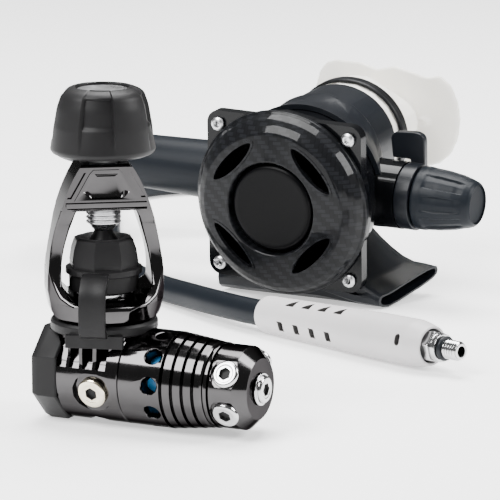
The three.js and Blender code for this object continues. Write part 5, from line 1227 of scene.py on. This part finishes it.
MOUTH_Z = 16
FLANGE_FROM = 80
FLANGE_GROWS_IN = 8
FLANGE_EDGE = 17
FLANGE_FILL = 5.0
FLANGE_FILL_HALF = 9
FLANGE_NOTCH = 4.5
FLANGE_NOTCH_AT = 24
FLANGE_NOTCH_HALF = 6
FLANGE_SET_BACK = 9.0
FLANGE_LIFT = 1.2
LOWER_EDGE_FROM = MOUTH_Z - 12
LOWER_EDGE_RAISED = 0.14
SKIN_VOXEL = 0.9


class REGULATOR_OT_mouthpiece(bpy.types.Operator):
    """Round the soft mouthpiece into one moulded skin"""

    bl_idname = "regulator.mouthpiece"
    bl_label = "Mouthpiece"

    def execute(self, context):
        bm = moved(from_node("mouthpiece"), CASE.inverted())
        for vert in bm.verts:
            at = vert.co
            along = clamped((at.y - FLANGE_FROM) / FLANGE_GROWS_IN)
            lift = FLANGE_FILL * math.exp(-((at.x / FLANGE_FILL_HALF) ** 2)) * along
            if abs(at.z - MOUTH_Z) > FLANGE_EDGE:
                at.z += math.copysign(lift, at.z - MOUTH_Z)
            if at.z > MOUTH_Z + FLANGE_EDGE:
                off = (at.x - FLANGE_NOTCH_AT) / FLANGE_NOTCH_HALF
                at.z -= FLANGE_NOTCH * math.exp(-(off**2)) * along
            if at.z < LOWER_EDGE_FROM:
                at.z += LOWER_EDGE_RAISED * (LOWER_EDGE_FROM - at.z) * along
            at.y += FLANGE_SET_BACK * along
            at.z += FLANGE_LIFT * along
        mouthpiece = new_object("mouthpiece_finished", bm, CASE)
        remesh = mouthpiece.modifiers.new("skin", "REMESH")
        remesh.mode = "VOXEL"
        remesh.voxel_size = SKIN_VOXEL * MM
        relax = mouthpiece.modifiers.new("relax", "SMOOTH")
        relax.factor = 0.6
        relax.iterations = 6
        bpy.context.view_layer.update()
        evaluated = mouthpiece.evaluated_get(context.evaluated_depsgraph_get())
        mouthpiece.data = bpy.data.meshes.new_from_object(evaluated)
        mouthpiece.modifiers.clear()
        for polygon in mouthpiece.data.polygons:
            polygon.use_smooth = True
        placed(mouthpiece, "mouthpiece", clear_silicone())
        return {"FINISHED"}


TEE_BEVEL = 0.4
LONGEST_TEE_EDGE = 9
OUTLET_FROM = 22
OUTLET_LENGTH = 30
OUTLET_THINNED = 0.5
OUTLET_RISE = 0.23
OUTLET_RISE_FROM = 18
LEFT_END_FROM = -18
LEFT_END_SHORTENED = 0.72


class REGULATOR_OT_tee(bpy.types.Operator):
    """Draw the exhaust tee's outlets out to thin slanting lips"""

    bl_idname = "regulator.tee"
    bl_label = "Exhaust tee"

    def execute(self, context):
        bm = moved(bevelled(from_node("exhaust_tee"), TEE_BEVEL * MM), TEE.inverted())
        long_edges = [e for e in bm.edges if e.calc_length() > LONGEST_TEE_EDGE]
        bmesh.ops.subdivide_edges(bm, edges=long_edges, cuts=3, use_grid_fill=True)
        for vert in bm.verts:
            at = vert.co
            along = clamped((at.x - OUTLET_FROM) / OUTLET_LENGTH)
            rise = along * max(0.0, OUTLET_RISE * (at.y - OUTLET_RISE_FROM))
            at.z = at.z * (1 - OUTLET_THINNED * along) + rise
            if at.x < LEFT_END_FROM:
                at.x = LEFT_END_FROM + (at.x - LEFT_END_FROM) * LEFT_END_SHORTENED
        piece("exhaust_tee", bm, TEE, blue_black(), crisp=32)
        return {"FINISHED"}


class REGULATOR_OT_finish_nodes(bpy.types.Operator):
    """Soften and finish the pieces whose solids already have their real shape"""

    bl_idname = "regulator.finish_nodes"
    bl_label = "Other pieces"

    def execute(self, context):
        finishes = {
            "black_chrome": black_chrome, "chrome": bright_chrome, "steel": satin_steel,
            "pale_gold": pale_gold, "black_rubber": dark_rubber, "black_plastic": matte_black,
            "gloss_black": gloss_black, "carbon": carbon, "blue_black": blue_black,
            "slate_rubber": slate_rubber, "grey_rubber": pale_rubber, "silicone": clear_silicone,
            "blue_plastic": blue_plastic, "filter_brass": sintered_brass,
        }
        special = {
            "diaphragm": diaphragm_rubber, "diaphragm_plate": diaphragm_rubber,
            "inhale_knob_disc": dark_plate,
        }
        for node, slot in SLOTS.items():
            if not frame["nodes"][node].hide_render:
                refined(node, special.get(node, finishes[slot])())
        return {"FINISHED"}


class REGULATOR_OT_declare_cord(bpy.types.Operator):
    bl_idname = "regulator.declare_cord"
    bl_label = "Cord"

    def execute(self, context):
        return {"FINISHED"}


FLOOR_GAP_M = 0.0002
SKY_STRENGTH = 0.2
# Each softbox's name, its place and aim in metres, its side in metres and its power in watts
SOFTBOXES = [
    ("key_softbox", (-1.0, -0.8, 1.35), (0, 0.05, 0.06), 0.95, 62),
    ("right_softbox", (1.35, -0.2, 1.0), (0, 0.05, 0.06), 0.7, 34),
    ("top_softbox", (0, 0.5, 1.7), (0, 0.05, 0), 1.2, 80),
]


class REGULATOR_OT_stage(bpy.types.Operator):
    """Put up the pale floor and the soft studio lights"""

    bl_idname = "regulator.stage"
    bl_label = "Stage"

    def execute(self, context):
        bm = bmesh.new()
        bmesh.ops.create_grid(bm, x_segments=1, y_segments=1, size=6)
        floor = new_object("floor", bm, Matrix.Translation((0, 0, -FLOOR_GAP_M)))
        floor.data.materials.append(pale_floor())
        world = bpy.data.worlds.new("studio")
        world.use_nodes = True
        sky = world.node_tree.nodes["Background"]
        sky.inputs["Color"].default_value = (1, 1, 1, 1)
        sky.inputs["Strength"].default_value = SKY_STRENGTH
        context.scene.world = world
        for name, at, aim, size, power in SOFTBOXES:
            data = bpy.data.lights.new(name, "AREA")
            data.size = size
            data.energy = power
            light = bpy.data.objects.new(name, data)
            light.location = at
            light.rotation_euler = (Vector(aim) - Vector(at)).to_track_quat("-Z", "Y").to_euler()
            context.scene.collection.objects.link(light)
        return {"FINISHED"}


class REGULATOR_PT_panel(bpy.types.Panel):
    """Lists the pieces and the finish settings"""

    bl_idname = "REGULATOR_PT_panel"
    bl_label = "Regulator"
    bl_space_type = "VIEW_3D"
    bl_region_type = "UI"
    bl_category = "Regulator"

    def draw(self, context):
        for setting in RegulatorFinish.__annotations__:
            self.layout.prop(context.scene.regulator_finish, setting)
        for step in STEPS:
            self.layout.operator(step.bl_idname)


STEPS = (
    REGULATOR_OT_camera,
    REGULATOR_OT_hose,
    REGULATOR_OT_knob,
    REGULATOR_OT_screw,
    REGULATOR_OT_plugs,
    REGULATOR_OT_cover,
    REGULATOR_OT_inhale,
    REGULATOR_OT_guard,
    REGULATOR_OT_fitting,
    REGULATOR_OT_mouthpiece,
    REGULATOR_OT_tee,
    REGULATOR_OT_finish_nodes,
    REGULATOR_OT_declare_cord,
    REGULATOR_OT_stage,
)


def register():
    for cls in (RegulatorFinish, *STEPS, REGULATOR_PT_panel):
        bpy.utils.register_class(cls)
    bpy.types.Scene.regulator_finish = PointerProperty(type=RegulatorFinish)


def unregister():
    del bpy.types.Scene.regulator_finish
    for cls in reversed((RegulatorFinish, *STEPS, REGULATOR_PT_panel)):
        bpy.utils.unregister_class(cls)


def main():
    register()
    for step in STEPS:
        area, name = step.bl_idname.split(".")
        getattr(getattr(bpy.ops, area), name)()


if __name__ == "__main__":
    main()
